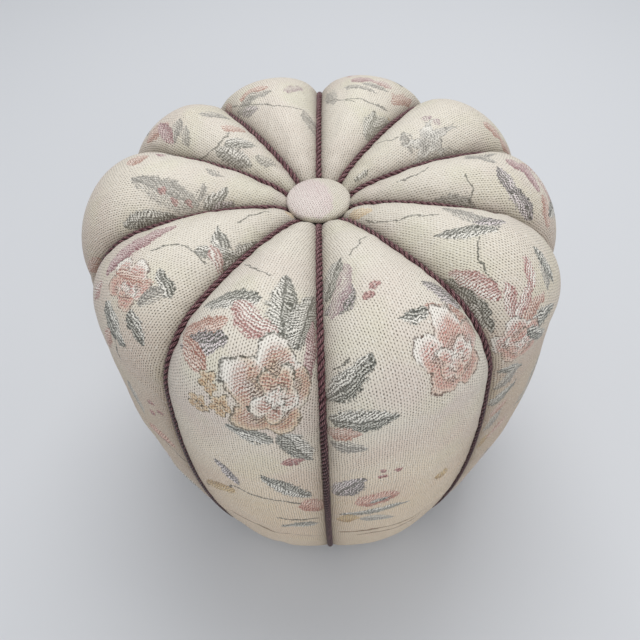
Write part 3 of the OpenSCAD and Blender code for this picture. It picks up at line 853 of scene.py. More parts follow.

# %% [markdown]
# ## Tapestry: the weave
#
# The cover is a ribbed jacquard: fat cream ribs run along each gore, crossed by rows of small dark
# holes where the weft dives between them. Their darkness, and a little in the valleys between the
# ribs, is partly the dark weft and partly painted shade. The picture is woven in the same threads, so
# its edges follow the weave in tiny steps. One node group turns the flat map of the cloth, in
# millimetres, into the rib's height and the darkness of the holes. Every tapestry material shares it.

# %% Yarns and words for them
ecru, cream, shadow, sage, dark_green = "#e2dacc", "#f0ece2", "#544b3f", "#96988a", "#363b37"
grey, terracotta, rose_pink, plum = "#a09d9a", "#a66856", "#cea49c", "#76464a"
ochre, mauve = "#c0986a", "#c8b8b8"


def mixed(share, low, high):
    """A colour between two others."""
    return node(share.tree, "Mix", {0: share, 6: low, 7: high}, 2, data_type="RGBA")


def split(vector):
    """The three parts of a vector."""
    return outputs(node(vector.tree, "SeparateXYZ", {0: vector})).values()


def joined(*parts):
    """A vector of two or three parts, the first one a wire."""
    return node(parts[0].tree, "CombineXYZ", dict(enumerate(parts)))


def mapped(place, vector_type="POINT", **how):
    """A place moved, turned and scaled by a Mapping node."""
    return node(place.tree, "Mapping", {"Vector": place, **how}, vector_type=vector_type)


def noise(place, scale, detail=2.0, out="Fac"):
    """Cloudy noise between 0 and 1."""
    return node(place.tree, "TexNoise", {"Vector": place, "Scale": scale, "Detail": detail}, out)


# %% The weave as a node group
rib_pitch, pick_pitch, thread_steps = 2.0, 2.6, (0.7, 0.9, 1.0)
bend_mm, shake_mm, sway_mm, sway_middle = 3.0, 1.5, 8.0, 4.6


def weave_group():
    """Height of the ribs, darkness of the holes and the stepped place of the threads."""
    tree, given, result = new_tree("ribbed weave", "ShaderNodeTree", [
        ("Cloth", "Vector", None), ("Rib Pitch", "Float", rib_pitch),
        ("Pick Pitch", "Float", pick_pitch)],
        [("Height", "Float"), ("Holes", "Float"), ("Place", "Vector"), ("Slub", "Float")])
    cloth = given["Cloth"]
    drift = noise(cloth, 0.04, 1.0, "Color").vector("SUBTRACT", (0.5, 0.5, 0.5))
    bent = drift.vector("MULTIPLY_ADD", (bend_mm, bend_mm, 0), cloth)
    strayed = noise(cloth, 0.3, 1.0, "Color").vector("MULTIPLY_ADD", (shake_mm, shake_mm, 0), bent)
    u, v, _ = split(strayed)
    across = u / given["Rib Pitch"]
    rib_number = across.math("ROUND")
    rib = abs((across * math.pi).math("SINE"))
    along = v / given["Pick Pitch"] + (rib_number * 0.5).math("FRACT")
    pick = abs((along * math.pi).math("SINE"))
    luck = node(tree, "TexWhiteNoise", {"Vector": joined(rib_number, along.math("FLOOR"))},
                noise_dimensions="3D")
    dot = rib.fade(0.2, 0.9) * pick.fade(0.25, 0.9)
    # Dark dots and faint valleys between the ribs: partly the dark weft, partly painted shade.
    hole = dot * (luck * 0.75 + 0.35) + rib.fade(0.1, 0.6) * 0.1
    slub = (noise(strayed, 0.5) - 0.5) * 1.8 + 0.5
    plug(rib.math("POWER", 0.7) * (slub * 0.4 + 0.4) - hole * 0.8, result["Height"])
    plug(hole * (slub * 0.8 + 0.6).math("MINIMUM", 1.0), result["Holes"])
    plug(slub, result["Slub"])
    swayed = noise(cloth, 0.1, 2.0, "Color").vector("MULTIPLY_ADD", (sway_mm, sway_mm, 0), strayed)
    centred = swayed.vector("SUBTRACT", (sway_middle, sway_middle, 0))
    plug(centred.vector("SNAP", thread_steps), result["Place"])
    return tree


weave = weave_group()
print("nodes in the weave:", len(weave.nodes))

# %% [markdown]
# ## Tapestry: the woven flowers
#
# Flowers, leaves and twigs are drawn by formulas, each one a node group that takes the colour
# under it and gives back the colour with one motif woven over it. A Mapping node of the texture
# kind moves, turns and scales the cloth's place, so that inside a group the motif always lies
# between -1 and 1. Thin dark outlines and hatched shading are what makes it look like tapestry.

# %% What all motifs share
def motif_group(name, *numbers, **colours):
    """A motif's tree, its inputs, its output, its own place and the waver of its threads."""
    tree, given, result = new_tree(name, "ShaderNodeTree", [
        ("Place", "Vector", None), ("Grain", "Float", 0.5), ("Under", "Color", ecru),
        ("Middle", "Vector", None), ("Turn", "Vector", None), ("Size", "Vector", (1.0, 1.0, 1.0)),
        *((title, "Float", 1.0) for title in numbers),
        *((title, "Color", value) for title, value in colours.items())], [("Colour", "Color")])
    local = mapped(given["Place"], "TEXTURE", Location=given["Middle"], Rotation=given["Turn"],
                   Scale=given["Size"])
    x, y, _ = split(local)
    return tree, given, result["Colour"], x, y, given["Grain"] - 0.5


def hatching(given, slope):
    """Slanting lines over a motif, as a wave between -1 and 1."""
    u, v, _ = split(given["Place"])
    return ((u * slope + v) / given["Pitch"] * (2 * math.pi)).math("SINE")


# %% Leaf and twig
def leaf_group():
    """A pointed leaf from x = -1 to its tip at 1, with an outline, a midrib and hatching."""
    tree, given, result, x, y, grain = motif_group(
        "woven leaf", "Bend", "Blunt", "Slope", "Pitch", "Midrib",
        Light=cream, Dark=dark_green, Tint=sage)
    arc = (1 - x * x).math("MAXIMUM", 0.0)
    y = y - arc * given["Bend"]
    half = arc.math("POWER", given["Blunt"]) * (1 - x * 0.2) + 0.001
    wave = hatching(given, given["Slope"])
    teeth = ((x * 3.5).math("FRACT") - 0.4) * given["Midrib"]
    edge = abs(y) / half + grain * 0.35 + teeth * 0.22 + wave * 0.1
    inside = edge.fade(0.95, 1.05) * abs(x).fade(0.98, 1.0)
    outline = edge.fade(0.95, 0.78) * 0.6
    rib = abs(y).fade(0.05, 0.14) * given["Midrib"] * 0.85
    side = y.fade(0.5, -0.5)
    hatch = (wave + grain * 1.8 + side * 0.7 + edge * 0.8 - 0.6).fade(0.3, -0.3)
    fill = mixed(side * 0.45, given["Light"], given["Tint"])
    mark = outline.math("MAXIMUM", rib).math("MAXIMUM", hatch)
    leaf = mixed(mark * (0.98 - grain * 0.4), fill, given["Dark"])
    plug(mixed(inside * 0.95, given["Under"], leaf), result)
    return tree


def twig_group():
    """A thin bent line from x = -1 to 1; y is in the same unit as x."""
    tree, given, result, x, y, grain = motif_group("woven twig", "Bend", "Thickness",
                                                   Dark=dark_green)
    line = abs(y - (1 - x * x) * given["Bend"]) / given["Thickness"] + grain * 1.6
    mask = line.fade(0.7, 1.3) * abs(x).fade(0.97, 1.0)
    plug(mixed(mask * 0.8, given["Under"], given["Dark"]), result)
    return tree


# %% Rose
def rose_group():
    """A full rose in the unit circle: rings of overlapping petals round a heart off the middle."""
    tree, given, result, x, y, grain = motif_group(
        "woven rose", "Petals", "Rings", "Heart X", "Heart Y", "Pitch",
        Light=cream, Shade=terracotta, Dark=dark_green, Low=ochre)
    inner = (1 - (x * x + y * y).math("SQRT")).math("MAXIMUM", 0.0)
    a = x - inner * given["Heart X"]
    b = y - inner * given["Heart Y"]
    r = (a * a + b * b).math("SQRT")
    ruffle = noise(joined(x, y), 1.7, 1.0)
    depth = r.math("POWER", 0.8) * given["Rings"] + (ruffle - 0.5) * 0.8 + grain * 0.1
    turn = b.math("ARCTAN2", a) / (2 * math.pi) * given["Petals"]
    floor_ring = depth.math("FLOOR")

    def reach(ring):
        """Outer edge of a ring's petals, in rings from the heart."""
        place = (turn + ring * 0.37 + 20).math("FRACT") - 0.5
        return ring + 1 - place * place * 2.6

    near_edge, far_edge = reach(floor_ring), reach(floor_ring + 1)
    is_near = (near_edge - depth).fade(0.02, -0.02)
    edge = is_near * (near_edge - far_edge) + far_edge
    deep = edge - depth
    outline = (deep + grain * 0.2).fade(0.06, 0.17)
    inside = (given["Rings"] - edge).fade(0.0, -0.1)
    wave = hatching(given, ((floor_ring - is_near) * 2.4).math("SINE"))
    lines = (wave + grain * 2.0 + 0.1).fade(0.35, -0.35)
    shading = (deep + (ruffle - 0.5) * 1.2).fade(0.62, 0.12)
    warm = (y.fade(0.75, 0.1) + ruffle.fade(0.6, 0.45) * 0.8).math("MINIMUM", 1.0)
    base = mixed(warm, given["Light"], given["Low"])
    petal = mixed((shading * 0.8 + 0.12) * (lines * 0.75 + 0.25), base, given["Shade"])
    sunk = (deep + ruffle * 0.5).fade(1.3, 1.0) * lines
    drawn = mixed(outline.math("MAXIMUM", sunk) * (0.75 - grain), petal, given["Dark"])
    plug(mixed(inside, given["Under"], drawn), result)
    return tree


motifs = {"leaf": leaf_group(), "twig": twig_group(), "rose": rose_group()}
print("node groups of the tapestry:", 1 + len(motifs))

# %% How leaves and roses look
leaf_looks = {look: dict(Light=light, Dark=dark, Tint=tint, Midrib=midrib, Blunt=blunt)
              for look, light, dark, tint, midrib, blunt in (
    ("sage", cream, dark_green, sage, 1.0, 0.75),
    ("grey", ecru, "#787671", grey, 1.0, 0.75),
    ("dusk", "#e8dcdc", dark_green, "#b2a4a8", 1.0, 0.75),
    ("pink", cream, "#9c6864", rose_pink, 0.0, 0.55),
    ("terracotta", "#ead8ca", "#9c685a", "#d0ac9a", 0.0, 0.55),
    ("plum", "#e2ccc8", "#7c4c54", "#ba9496", 0.0, 0.5),
    ("bud", "#e8c8b6", "#8e4e44", "#cc927e", 0.0, 0.5),
    ("berry", rose_pink, plum, "#a06e6e", 0.0, 0.5),
    ("ochre", "#dec496", "#8c704c", ochre, 0.0, 0.6),
    ("mauve", ecru, "#967a82", mauve, 0.0, 0.5),
    ("blush", "#ece2db", "#dac8c4", "#e6d8d4", 0.0, 0.5),
    ("stain", "#e8d8bc", "#d0b28a", "#e2c8a4", 0.0, 0.5),
    # The last look is a long thin brown mark: painted shade of a crease in the cloth, not a woven
    # motif.
    ("fold", "#967c60", "#705840", "#886e52", 0.0, 0.3))}
rose_looks = {look: dict(Light=light, Shade=shade, Dark=dark, Low=low, Rings=rings)
              for look, light, shade, dark, low, rings in (
    ("rose", cream, "#a67466", "#54524a", "#decaae", 3.2),
    ("pink rose", cream, "#b87e74", "#685850", "#dcc6b4", 3.0),
    ("grey rose", cream, "#848380", "#585a58", "#d8d2c8", 2.6),
    ("floret", "#e2d0b4", "#a88264", dark_green, "#d6be9c", 2.0))}
print("looks: %d of leaves, %d of roses" % (len(leaf_looks), len(rose_looks)))

# %% From a line on the cloth to a motif
hatch_pitch, hem_hatch_v, twig_thick = 2.6, 290, 0.7


def lie(u0, v0, u1, v1):
    """Half the length of a line on the cloth, and how a motif lies that follows it."""
    return math.hypot(u1 - u0, v1 - v0) / 2, dict(
        Middle=((u0 + u1) / 2, (v0 + v1) / 2, 0), Turn=(0, 0, math.atan2(v1 - v0, u1 - u0)))


def weave_leaf(look, u0, v0, u1, v1, half_width, bend=0.0):
    """A leaf, petal, bud or berry from its foot to its tip, in millimetres on the cloth."""
    half, way = lie(u0, v0, u1, v1)
    slope, pitch = (0.75 if (u1 - u0) * (v1 - v0) < 0 else -0.35), hatch_pitch
    if min(v0, v1) > hem_hatch_v:
        slope, pitch = 2.2, 2.2 * hatch_pitch
    return "leaf", dict(leaf_looks[look], Size=(half, half_width, 1), Bend=bend, Slope=slope,
                        Pitch=pitch, **way)


def weave_twig(look, u0, v0, u1, v1, bend=0.0, thick=twig_thick):
    """A thin twig between two places on the cloth."""
    half, way = lie(u0, v0, u1, v1)
    return "twig", dict(Size=(half, half, 1), Bend=bend, Thickness=thick / half, **way)


def weave_rose(look, u, v, wide, tall, heart_u=0.0, heart_v=0.0, petals=5.0):
    """A rose of a width and height round a place on the cloth, with its heart off the middle."""
    return "rose", {**rose_looks[look], "Size": (wide, tall, 1), "Middle": (u, v, 0),
                    "Petals": petals, "Heart X": heart_u, "Heart Y": heart_v,
                    "Pitch": hatch_pitch}


def woven(place, grain, under, look, *where):
    """The colour so far with one more motif over it."""
    weaver = weave_twig if look == "twig" else weave_rose if look in rose_looks else weave_leaf
    kind, values = weaver(look, *where)
    return node(place.tree, "Group", dict(values, Place=place, Grain=grain, Under=under),
                node_tree=motifs[kind])


# %% Where the flowers lie
# The long thin brown marks near the hem of gores 1 and 10 are painted shade of creases.
sprays = {
    1: [("twig", 11, 75, -10, 95, 0.1), ("sage", -46, 128, -16, 91, 9),
        ("dusk", -50, 140, -20, 122, 9, 0.5), ("mauve", -47, 146, -15, 99, 6, 0.6),
        ("berry", -11, 133, -3, 131, 3.4), ("berry", -19, 139, -10, 137, 3.4),
        ("dusk", 52, 172, 28, 138, 8), ("terracotta", 54, 198, 16, 160, 10, 0.3),
        ("sage", 20, 164, -3, 162, 5), ("pink rose", 28, 193, 30, 32, 0.05, 0.5),
        ("sage", -69, 216, -26, 180, 9), ("twig", -57, 187, -43, 180, 0.1),
        ("sage", -68, 232, -18, 226, 11, 0.1), ("terracotta", -70, 250, -42, 243, 8),
        ("grey", -67, 260, -40, 268, 7), ("berry", -30, 303, -23, 303, 3),
        ("berry", -19, 306, -12, 306, 3), ("berry", -30, 313, -23, 313, 3),
        ("dusk", -65, 346, -42, 314, 13), ("bud", -48, 366, -12, 350, 14),
        ("sage", -38, 366, -18, 358, 4), ("sage", -61, 390, 2, 377, 6, 0.6),
        ("ochre", -62, 402, -43, 405, 12), ("grey", -43, 404, -10, 414, 8),
        ("ochre", 24, 350, 36, 360, 7), ("fold", -60, 452, 30, 444, 2.6, 0.6),
        ("fold", -40, 470, 34, 458, 2.2, 0.8)],
    2: [("stain", -10, 26, -1, 46, 6), ("twig", -13, 48, -11, 78, 0.12),
        ("twig", -11, 78, 2, 103, -0.1), ("grey", 8, 150, 12, 101, 7), ("sage", 5, 150, -19, 113, 6),
        ("twig", -9, 141, -27, 153, 0.1), ("twig", -27, 153, -36, 176, 0.1),
        ("sage", -60, 208, -50, 134, 7), ("pink", -41, 185, -43, 138, 7),
        ("pink", -43, 204, -29, 178, 5), ("pink", -40, 206, -14, 190, 5),
        ("terracotta", -38, 210, -8, 205, 5), ("grey", -3, 208, 11, 186, 5),
        ("sage", -36, 216, 0, 224, 6), ("pink rose", -44, 224, 21, 22, 0.0, 0.2),
        ("sage", -62, 250, -34, 264, 5), ("grey", -62, 274, -38, 258, 6),
        ("sage", -63, 298, -40, 278, 7), ("terracotta", -60, 318, -42, 304, 5),
        ("grey", -60, 340, -46, 316, 6), ("ochre", -60, 372, -48, 352, 6),
        ("sage", -37, 219, -15, 244, 6), ("grey", -20, 330, 14, 306, 6),
        ("sage", -22, 338, 18, 344, 5), ("terracotta", -30, 344, -52, 362, 6),
        ("sage", 12, 180, 8, 210, 5), ("pink", -2, 176, -16, 196, 4), ("dusk", 18, 152, 4, 130, 5)],
    3: [("grey", -42, 129, -27, 90, 9), ("twig", -37, 122, -10, 117, 0.15),
        ("grey", 11, 119, 21, 150, 6), ("dusk", -46, 181, -20, 148, 7), ("grey", 22, 124, 2, 143, 6),
        ("dusk", -4, 143, -29, 156, 6), ("plum", 12, 168, -19, 182, 6), ("pink", 4, 188, -18, 208, 6),
        ("plum", 10, 153, -3, 175, 6), ("terracotta", -17, 187, -44, 202, 6),
        ("twig", -2, 60, 6, 88, 0.15)],
    4: [("mauve", -2, 118, 6, 118, 3.6), ("mauve", -11, 122, -3, 122, 3.6),
        ("grey", -30, 92, -44, 132, 6), ("grey", 4, 92, -20, 84, 5),
        ("grey rose", -19, 108, 18, 28, 0.0, -0.2), ("twig", 14, 72, -2, 88, 0.15),
        ("sage", -5, 29, -5, 45, 3), ("terracotta", -44, 184, -52, 206, 5),
        ("terracotta", -26, 168, -44, 190, 6)],
    5: [("plum", 14, 144, -8, 150, 6), ("grey", 2, 137, -26, 142, 4), ("twig", 9, 110, -33, 121, 0.1),
        ("sage", -22, 74, -21, 107, 8), ("ochre", -43, 112, -35, 115, 3),
        ("grey", 40, 142, 20, 108, 6), ("grey", 20, 132, -16, 128, 4), ("twig", 38, 126, 0, 106, 0.1),
        ("sage", -25, 90, -42, 116, 7), ("terracotta", -31, 134, -50, 166, 6),
        ("pink", -6, 148, -26, 150, 5)],
    6: [("terracotta", 34, 150, 5, 139, 5), ("terracotta", 50, 176, 52, 148, 5),
        ("grey", 45, 141, 25, 130, 6), ("mauve", -8, 126, -31, 143, 5), ("twig", 14, 117, 3, 104, 0.1),
        ("twig", 3, 104, -26, 94, -0.1), ("grey", -17, 98, -26, 71, 6), ("grey", 37, 144, 4, 128, 6),
        ("dusk", 40, 132, 22, 116, 5), ("sage", -20, 92, -38, 84, 5), ("twig", 46, 158, 12, 114, 0.1)],
    7: [("terracotta", 38, 184, 18, 158, 8), ("grey", 34, 142, 10, 147, 6),
        ("grey", 32, 126, 14, 138, 5), ("terracotta", -14, 104, -10, 101, 3),
        ("twig", 36, 112, 11, 96, 0.1), ("twig", 11, 96, -4, 99, 0.1), ("sage", 19, 98, 10, 60, 8),
        ("sage", 10, 92, -10, 72, 7), ("terracotta", -2, 108, -18, 94, 6), ("grey", 2, 62, -4, 44, 6),
        ("grey", -4, 138, -24, 118, 6), ("plum", 34, 144, 20, 174, 6)],
    8: [("terracotta", -6, 158, -24, 146, 8), ("plum", -30, 140, -24, 132, 3),
        ("grey", -44, 138, -30, 126, 5), ("grey", 30, 96, 12, 149, 13, -0.2),
        ("berry", 19, 125, 27, 123, 3.4), ("berry", 27, 116, 34, 114, 3),
        ("berry", 27, 105, 34, 104, 3), ("sage", 54, 168, 42, 116, 7), ("sage", 33, 93, 8, 70, 5, 0.2),
        ("dusk", 35, 88, 20, 66, 5, 0.2), ("grey", 27, 96, 10, 88, 4), ("grey", -8, 92, -3, 76, 4),
        ("terracotta", 60, 240, 68, 212, 6)],
    9: [("twig", 0, 40, 6, 76, 0.15), ("sage", 41, 114, 3, 92, 7), ("sage", 40, 112, 25, 73, 7),
        ("sage", 14, 122, 34, 96, 7), ("pink", 40, 117, 14, 106, 4), ("twig", 30, 122, 2, 124, 0.1),
        ("twig", 2, 124, -8, 147, 0.1), ("plum", -25, 186, -21, 118, 8), ("stain", -2, 18, 4, 26, 4),
        ("sage", 38, 160, 12, 148, 6), ("pink rose", 4, 172, 22, 20, 0.0, 0.3),
        ("sage", -8, 198, 30, 215, 8), ("sage", 20, 186, 46, 204, 6),
        ("terracotta", 0, 236, 10, 212, 6), ("terracotta", -14, 176, 20, 160, 4),
        ("grey", 30, 158, 24, 180, 6), ("grey", 16, 270, 24, 312, 7), ("berry", 41, 274, 48, 272, 3),
        ("berry", 50, 281, 57, 279, 3), ("berry", 39, 291, 46, 289, 3), ("bud", 26, 326, 56, 333, 9),
        ("twig", 40, 336, 66, 356, 0.1, 1.2), ("twig", 16, 211, 22, 236, 0.1),
        ("pink", -30, 212, -22, 192, 6)],
    10: [("twig", -25, 105, 4, 117, 0.15), ("sage", 28, 168, 14, 112, 11),
        ("sage", 38, 172, 40, 118, 12), ("plum", 53, 194, 46, 143, 5),
        ("sage", 6, 139, -38, 156, 8, 0.4), ("pink", -12, 146, 24, 164, 9, 0.3),
        ("terracotta", -12, 160, -52, 180, 8, -0.3), ("dusk", -8, 172, -48, 190, 8),
        ("terracotta", -19, 198, -46, 182, 8), ("sage", 30, 254, -6, 238, 9),
        ("sage", 34, 240, 57, 280, 10), ("rose", 22, 204, 37, 44, 0.4, 0.05, 5),
        ("floret", -17, 204, 9, 9), ("floret", -24, 224, 10, 9), ("floret", -7, 219, 10, 10),
        ("berry", 33, 285, 51, 277, 5), ("twig", -52, 384, -15, 344, 0.1, 1.2),
        ("twig", -15, 344, 44, 360, -0.12, 1.2), ("dusk", -7, 336, -22, 299, 7),
        ("ochre", -15, 352, -50, 380, 9), ("sage", 53, 345, 13, 307, 10),
        ("bud", 42, 360, 66, 368, 14), ("twig", 18, 400, 57, 398, 0.1, 1.4),
        ("sage", 57, 410, 20, 422, 8), ("fold", -40, 446, 58, 462, 2.4, 0.6)]}
print("motifs in the photograph's view:", sum(len(spray) for spray in sprays.values()))

# %% Sprays where the photograph doesn't look
def hidden_spray(draw, u, v, way, look):
    """A rose among leaves with buds and berries below it; draw varies every place a little."""
    tilt = draw.uniform(-0.5, 0.5)

    def at(du, dv):
        """A place near one of the spray, turned with it."""
        across = du * math.cos(tilt) - dv * math.sin(tilt) + draw.uniform(-4, 4)
        down = du * math.sin(tilt) + dv * math.cos(tilt) + draw.uniform(-5, 5)
        return u + way * across, v + down

    bud, twig = at(-20, 108), at(28, 122)
    return [("sage", *at(4, 0), *at(52, -30), 9),
            ("dusk", *at(0, 0), *at(-42, -38), 10),
            ("pink", *at(0, -10), *at(6, -52), 7),
            ("sage", *at(6, 8), *at(36, 52), 9),
            ("grey", *at(-8, 10), *at(-34, 44), 7),
            ("terracotta", *at(10, 14), *at(2, 54), 7),
            (look, u, v, 30, 33, 0.25 * way, 0.1),
            ("twig", *at(14, 40), *twig, 0.15), ("twig", *twig, *bud, -0.12),
            ("terracotta", *bud, *at(-42, 92), 7),
            ("sage", *twig, *at(36, 84), 7), ("grey", *at(2, 118), *at(-6, 84), 6),
            ("berry", *at(-30, 66), *at(-36, 68), 3),
            ("berry", *at(-32, 76), *at(-38, 79), 3)]


draw = np.random.default_rng(12)
hidden_places = {2: [(-8, 468)], 3: [(20, 222), (-14, 404)], 4: [(-12, 286), (12, 486)],
                 5: [(14, 206), (-12, 392)], 6: [(-12, 296), (10, 498)],
                 7: [(-14, 224), (8, 416)], 8: [(6, 284), (-10, 478)], 9: [(-4, 444)]}
for g, places in hidden_places.items():
    for u, v in places:
        way = int(draw.choice([-1, 1]))
        sprays[g] += hidden_spray(draw, u, v, way, "rose" if way > 0 else "pink rose")
print("motifs on the cover:", sum(len(spray) for spray in sprays.values()))

# %% [markdown]
# ## Tapestry: ground, flowers, wear and painted shade
#
# The ground is unbleached yarn with pink and green clouds in it. Low down it is browner and darker,
# partly dirt from feet and partly painted shade, more of it on the side gores. The flowers of a
# gore lie over it, then a dark brown along the seams, partly dirt and partly painted shade in the
# creases, and last the holes between the ribs. A gore has more flowers than one shader tree can
# hold, so its cloth has four bands, each with a material that holds only the flowers that reach
# into it. The bands share one map and one ground, so nothing changes where they meet.

# %% What all materials share
mm = 1000.0


def new_material(name, sheen, roughness, specular=0.25, metallic=0.0):
    """A material with one Principled shader set up as cloth; gives both."""
    material = bpy.data.materials.new(name)
    material.use_nodes = True
    shader = material.node_tree.nodes["Principled BSDF"]
    for socket, value in {"Roughness": roughness, "Specular IOR Level": specular,
                          "Sheen Weight": sheen, "Sheen Roughness": 0.5,
                          "Metallic": metallic}.items():
        shader.inputs[socket].default_value = value
    return material, shader


def paint(shader, colour, height, strength, distance, rough=None):
    """Feeds a shader its colour, a height as bump, and its roughness where that changes."""
    plug(colour, shader.inputs["Base Color"])
    plug(node(shader.id_data, "Bump", {"Height": height, "Strength": strength,
                                       "Distance": distance}), shader.inputs["Normal"])
    if rough is not None:
        plug(rough, shader.inputs["Roughness"])


def attribute(tree, name, out="Fac"):
    """One of the mesh's own attributes."""
    return node(tree, "Attribute", {}, out, attribute_name=name)


# %% The tapestry's material
top_v, soiled_v, cloud_u, cloud_v = 100.0, 190.0, 97.0, 31.0
# Colour and heights of the brown low down, for front and side gores: partly dirt, partly painted
# shade, darker on the side gores.
kicked_and_shaded = {"front": ("#d2b796", 190.0, 400.0), "side": ("#b2967a", 110.0, 340.0)}


def tapestry_material(name, spray, seed, side="front", bleach=0.0, rib_turn=0.0, rib_scale=1.0):
    """Ribbed cloth with a spray of flowers woven into it, bleached on top, browner low down and at the
    seams from dirt and painted shade.
    """
    material, shader = new_material(name, 0.15, 0.85)
    tree = material.node_tree
    cloth = mapped(node(tree, "UVMap", {}, uv_map="cloth"), Rotation=(0, 0, rib_turn),
                   Scale=(mm, mm, mm))
    threads = outputs(node(tree, "Group", {"Cloth": cloth, "Rib Pitch": rib_pitch * rib_scale},
                           node_tree=weave))
    place, slub = threads["Place"], threads["Slub"]
    moved = place.vector("ADD", (cloud_u * seed, cloud_v * seed, 0))
    pink_cloud = noise(moved, 0.014, 1.0).fade(0.62, 0.42)
    green_cloud = noise(moved, 0.021, 1.0).fade(0.66, 0.48)
    _, v, _ = split(place)
    ground = mixed(pink_cloud * (v.fade(260, 120) * 0.4 + 0.25), ecru, "#d4c2ba")
    ground = mixed(green_cloud * 0.45, ground, "#dad7be")
    # Browner low down: partly dirt, partly painted shade on the lower sides.
    low, from_v, to_v = kicked_and_shaded[side]
    ground = mixed(v.fade(to_v, from_v) * 0.7, ground, low)
    colour = mixed(noise(cloth, 0.9).fade(0.35, 0.6) * 0.3, ground, "#c4baa8")
    for motif in spray:
        colour = woven(place, slub, colour, *motif)
    on_top = v.fade(top_v, soiled_v)
    colour = mixed(on_top * bleach, colour, ground)
    pale = mixed(slub.fade(0.9, 0.5) * 0.5, colour, cream)
    # Dark brown along the seams, partly dirt and partly painted shade in the creases; near the seams
    # the holes are darker too, more painted shade.
    soil = attribute(tree, "soil")
    shade = soil.math("POWER", 0.25)
    soiled_and_shaded = mixed((soil * 0.6 + shade * 0.25).math("MINIMUM", 0.85), pale, "#685846")
    # The holes take the colour named shadow: painted shade, partly dark weft, deeper beside the seams
    # and fainter on the top.
    holes = (threads["Holes"] * (shade * 0.7 + 0.95 - on_top * 0.55)).math("MINIMUM", 0.95)
    paint(shader, mixed(holes, soiled_and_shaded, shadow), threads["Height"], 0.55, 0.0006)
    return material


# %% Four bands of every gore
bands, spare = [(0.0, 150.0), (150.0, 290.0), (290.0, 420.0), (420.0, 600.0)], 16.0
bleached = {4: 0.2, 5: 0.25, 6: 0.25, 7: 0.2, 8: 0.18}
most = 0


def reaches(motif, top, bottom):
    """Whether a motif comes into a band of the cloth."""
    look, _, v, _, v_or_tall = motif[:5]
    high, low = (v - v_or_tall, v + v_or_tall) if look in rose_looks else sorted((v, v_or_tall))
    return high - spare < bottom and low + spare > top


for g in range(gores):
    cover = covers[g].data
    side, bleach = "front" if g in (0, 9) else "side", bleached.get(g + 1, 0.12)
    row_v = cloth_map(gore_points(g, cover_rows, cover_cols))[:-1, 0, 1] * mm
    for i, (top, bottom) in enumerate(bands):
        spray = [motif for motif in sprays[g + 1] if reaches(motif, top, bottom)]
        cover.materials.append(
            tapestry_material("tapestry_%d_%d" % (g + 1, i + 1), spray, g + 1, side, bleach))
        most = max(most, len(spray))
    band = np.searchsorted([top for top, bottom in bands], row_v, side="right") - 1
    cover.polygons.foreach_set("material_index", np.repeat(band, len(cover_cols) - 1))
print("most motifs in one material:", most)
button.data.materials.append(tapestry_material(
    "tapestry_button", [("blush", -34, -2, 20, -16, 22)], seed=12, rib_turn=math.radians(38),
    rib_scale=0.85))

# %% [markdown]
# ## Cord: rayon
#
# The rayon cord's light and shade are painted into its colour: painted highlights on its yarns, and
# painted shade, nearly black, in the grooves between the strands. Each strand is itself a bundle of
# fine yarns laid the other way. The three attributes of the mesh give all of that: the distance
# from the middle finds the grooves, and the place round the strand with the length along it gives
# slanting yarns that run without a seam.

# %% The cord's material
def cord_material():
    """Plum rayon with painted shade in the grooves and painted highlights on its yarns, paler near the
    button from dust, wear and painted light on the lit top.
    """
    material, shader = new_material("cord_rayon", 0.1, 0.4)
    tree = material.node_tree
    along, reach = attribute(tree, "along") * mm, attribute(tree, "reach") * mm
    x, y, _ = split(attribute(tree, "around", "Vector"))
    turn = y.math("ARCTAN2", x) / (2 * math.pi)
    yarn = ((turn * 6 + along / 2.6) * (2 * math.pi)).math("SINE")
    fibres = noise(joined(x * 4, y * 4, along * 0.5), 1.0, 3.0)
    worn = noise(joined(x * 0.4, y * 0.4, along * 0.09), 1.0)
    # Painted highlights: streaks of the pale colour where the yarns would catch the light.
    shine = (fibres + yarn * 0.18).fade(0.8, 0.5)
    # Near the button the cord is paler and its painted groove shade narrower: partly dust and wear,
    # partly painted light on the lit top.
    on_top = along.fade(110, 300)
    painted_groove_shade = (reach - (1 - on_top) * 0.35).fade(1.95, 2.85)
    colour = mixed(shine, mixed(on_top, "#2a1417", "#4e2c31"), mixed(on_top, "#886061", "#ac8284"))
    colour = mixed(worn.fade(0.7, 0.56) * 0.3, colour, "#886864")
    # Painted shade, nearly black, in the grooves between the strands.
    colour = mixed(painted_groove_shade * 0.9, colour, "#1e0e12")
    paint(shader, colour, yarn * 0.35 + fibres, 0.6, 0.00018, fibres * 0.3 + 0.26)
    return material


cord_finish = cord_material()
cords = [make_cord(i, cord_finish) for i in range(gores)]
print("cords: %d of %d faces" % (len(cords), len(cords[0].data.polygons)))

# %% [markdown]
# ## Hidden finishes: fibres, foam and cambric
#
# Nothing under the cover shows unless it is opened, but each piece still gets what it is made of.
# Three node groups do most of the work. "Mottle" is cloudy and fine variation with rare specks,
# "fibres" is hairs that lie every way, and "grain" is the long figure of wood. They read Object
# coordinates, so they are in metres and stay with the piece. Each finish is then a short function
# of the place on the piece and its mottle, which gives the colour, the height with the strength
# and depth of its bump, and sometimes the roughness.

# %% Mottle, fibres and grain as node groups
def effect_group(name, size, *results):
    """A group that takes a place in metres, and counts it in units of a size."""
    tree, given, result = new_tree(name, "ShaderNodeTree", [
        ("Place", "Vector", None), (size, "Float", 0.01)], [(title, "Float") for title in results])
    return tree, given["Place"].vector("SCALE", Scale=1 / given[size]), result


def mottle_group():
    """Cloudy and fine variation and rare specks."""
    tree, place, result = effect_group("mottle", "Size", "Cloud", "Fine", "Specks")
    plug(noise(place, 1.0), result["Cloud"])
    plug(noise(place, 13.0, 3.0), result["Fine"])
    plug(noise(place, 6.0, 1.0).fade(0.76, 0.7), result["Specks"])
    return tree


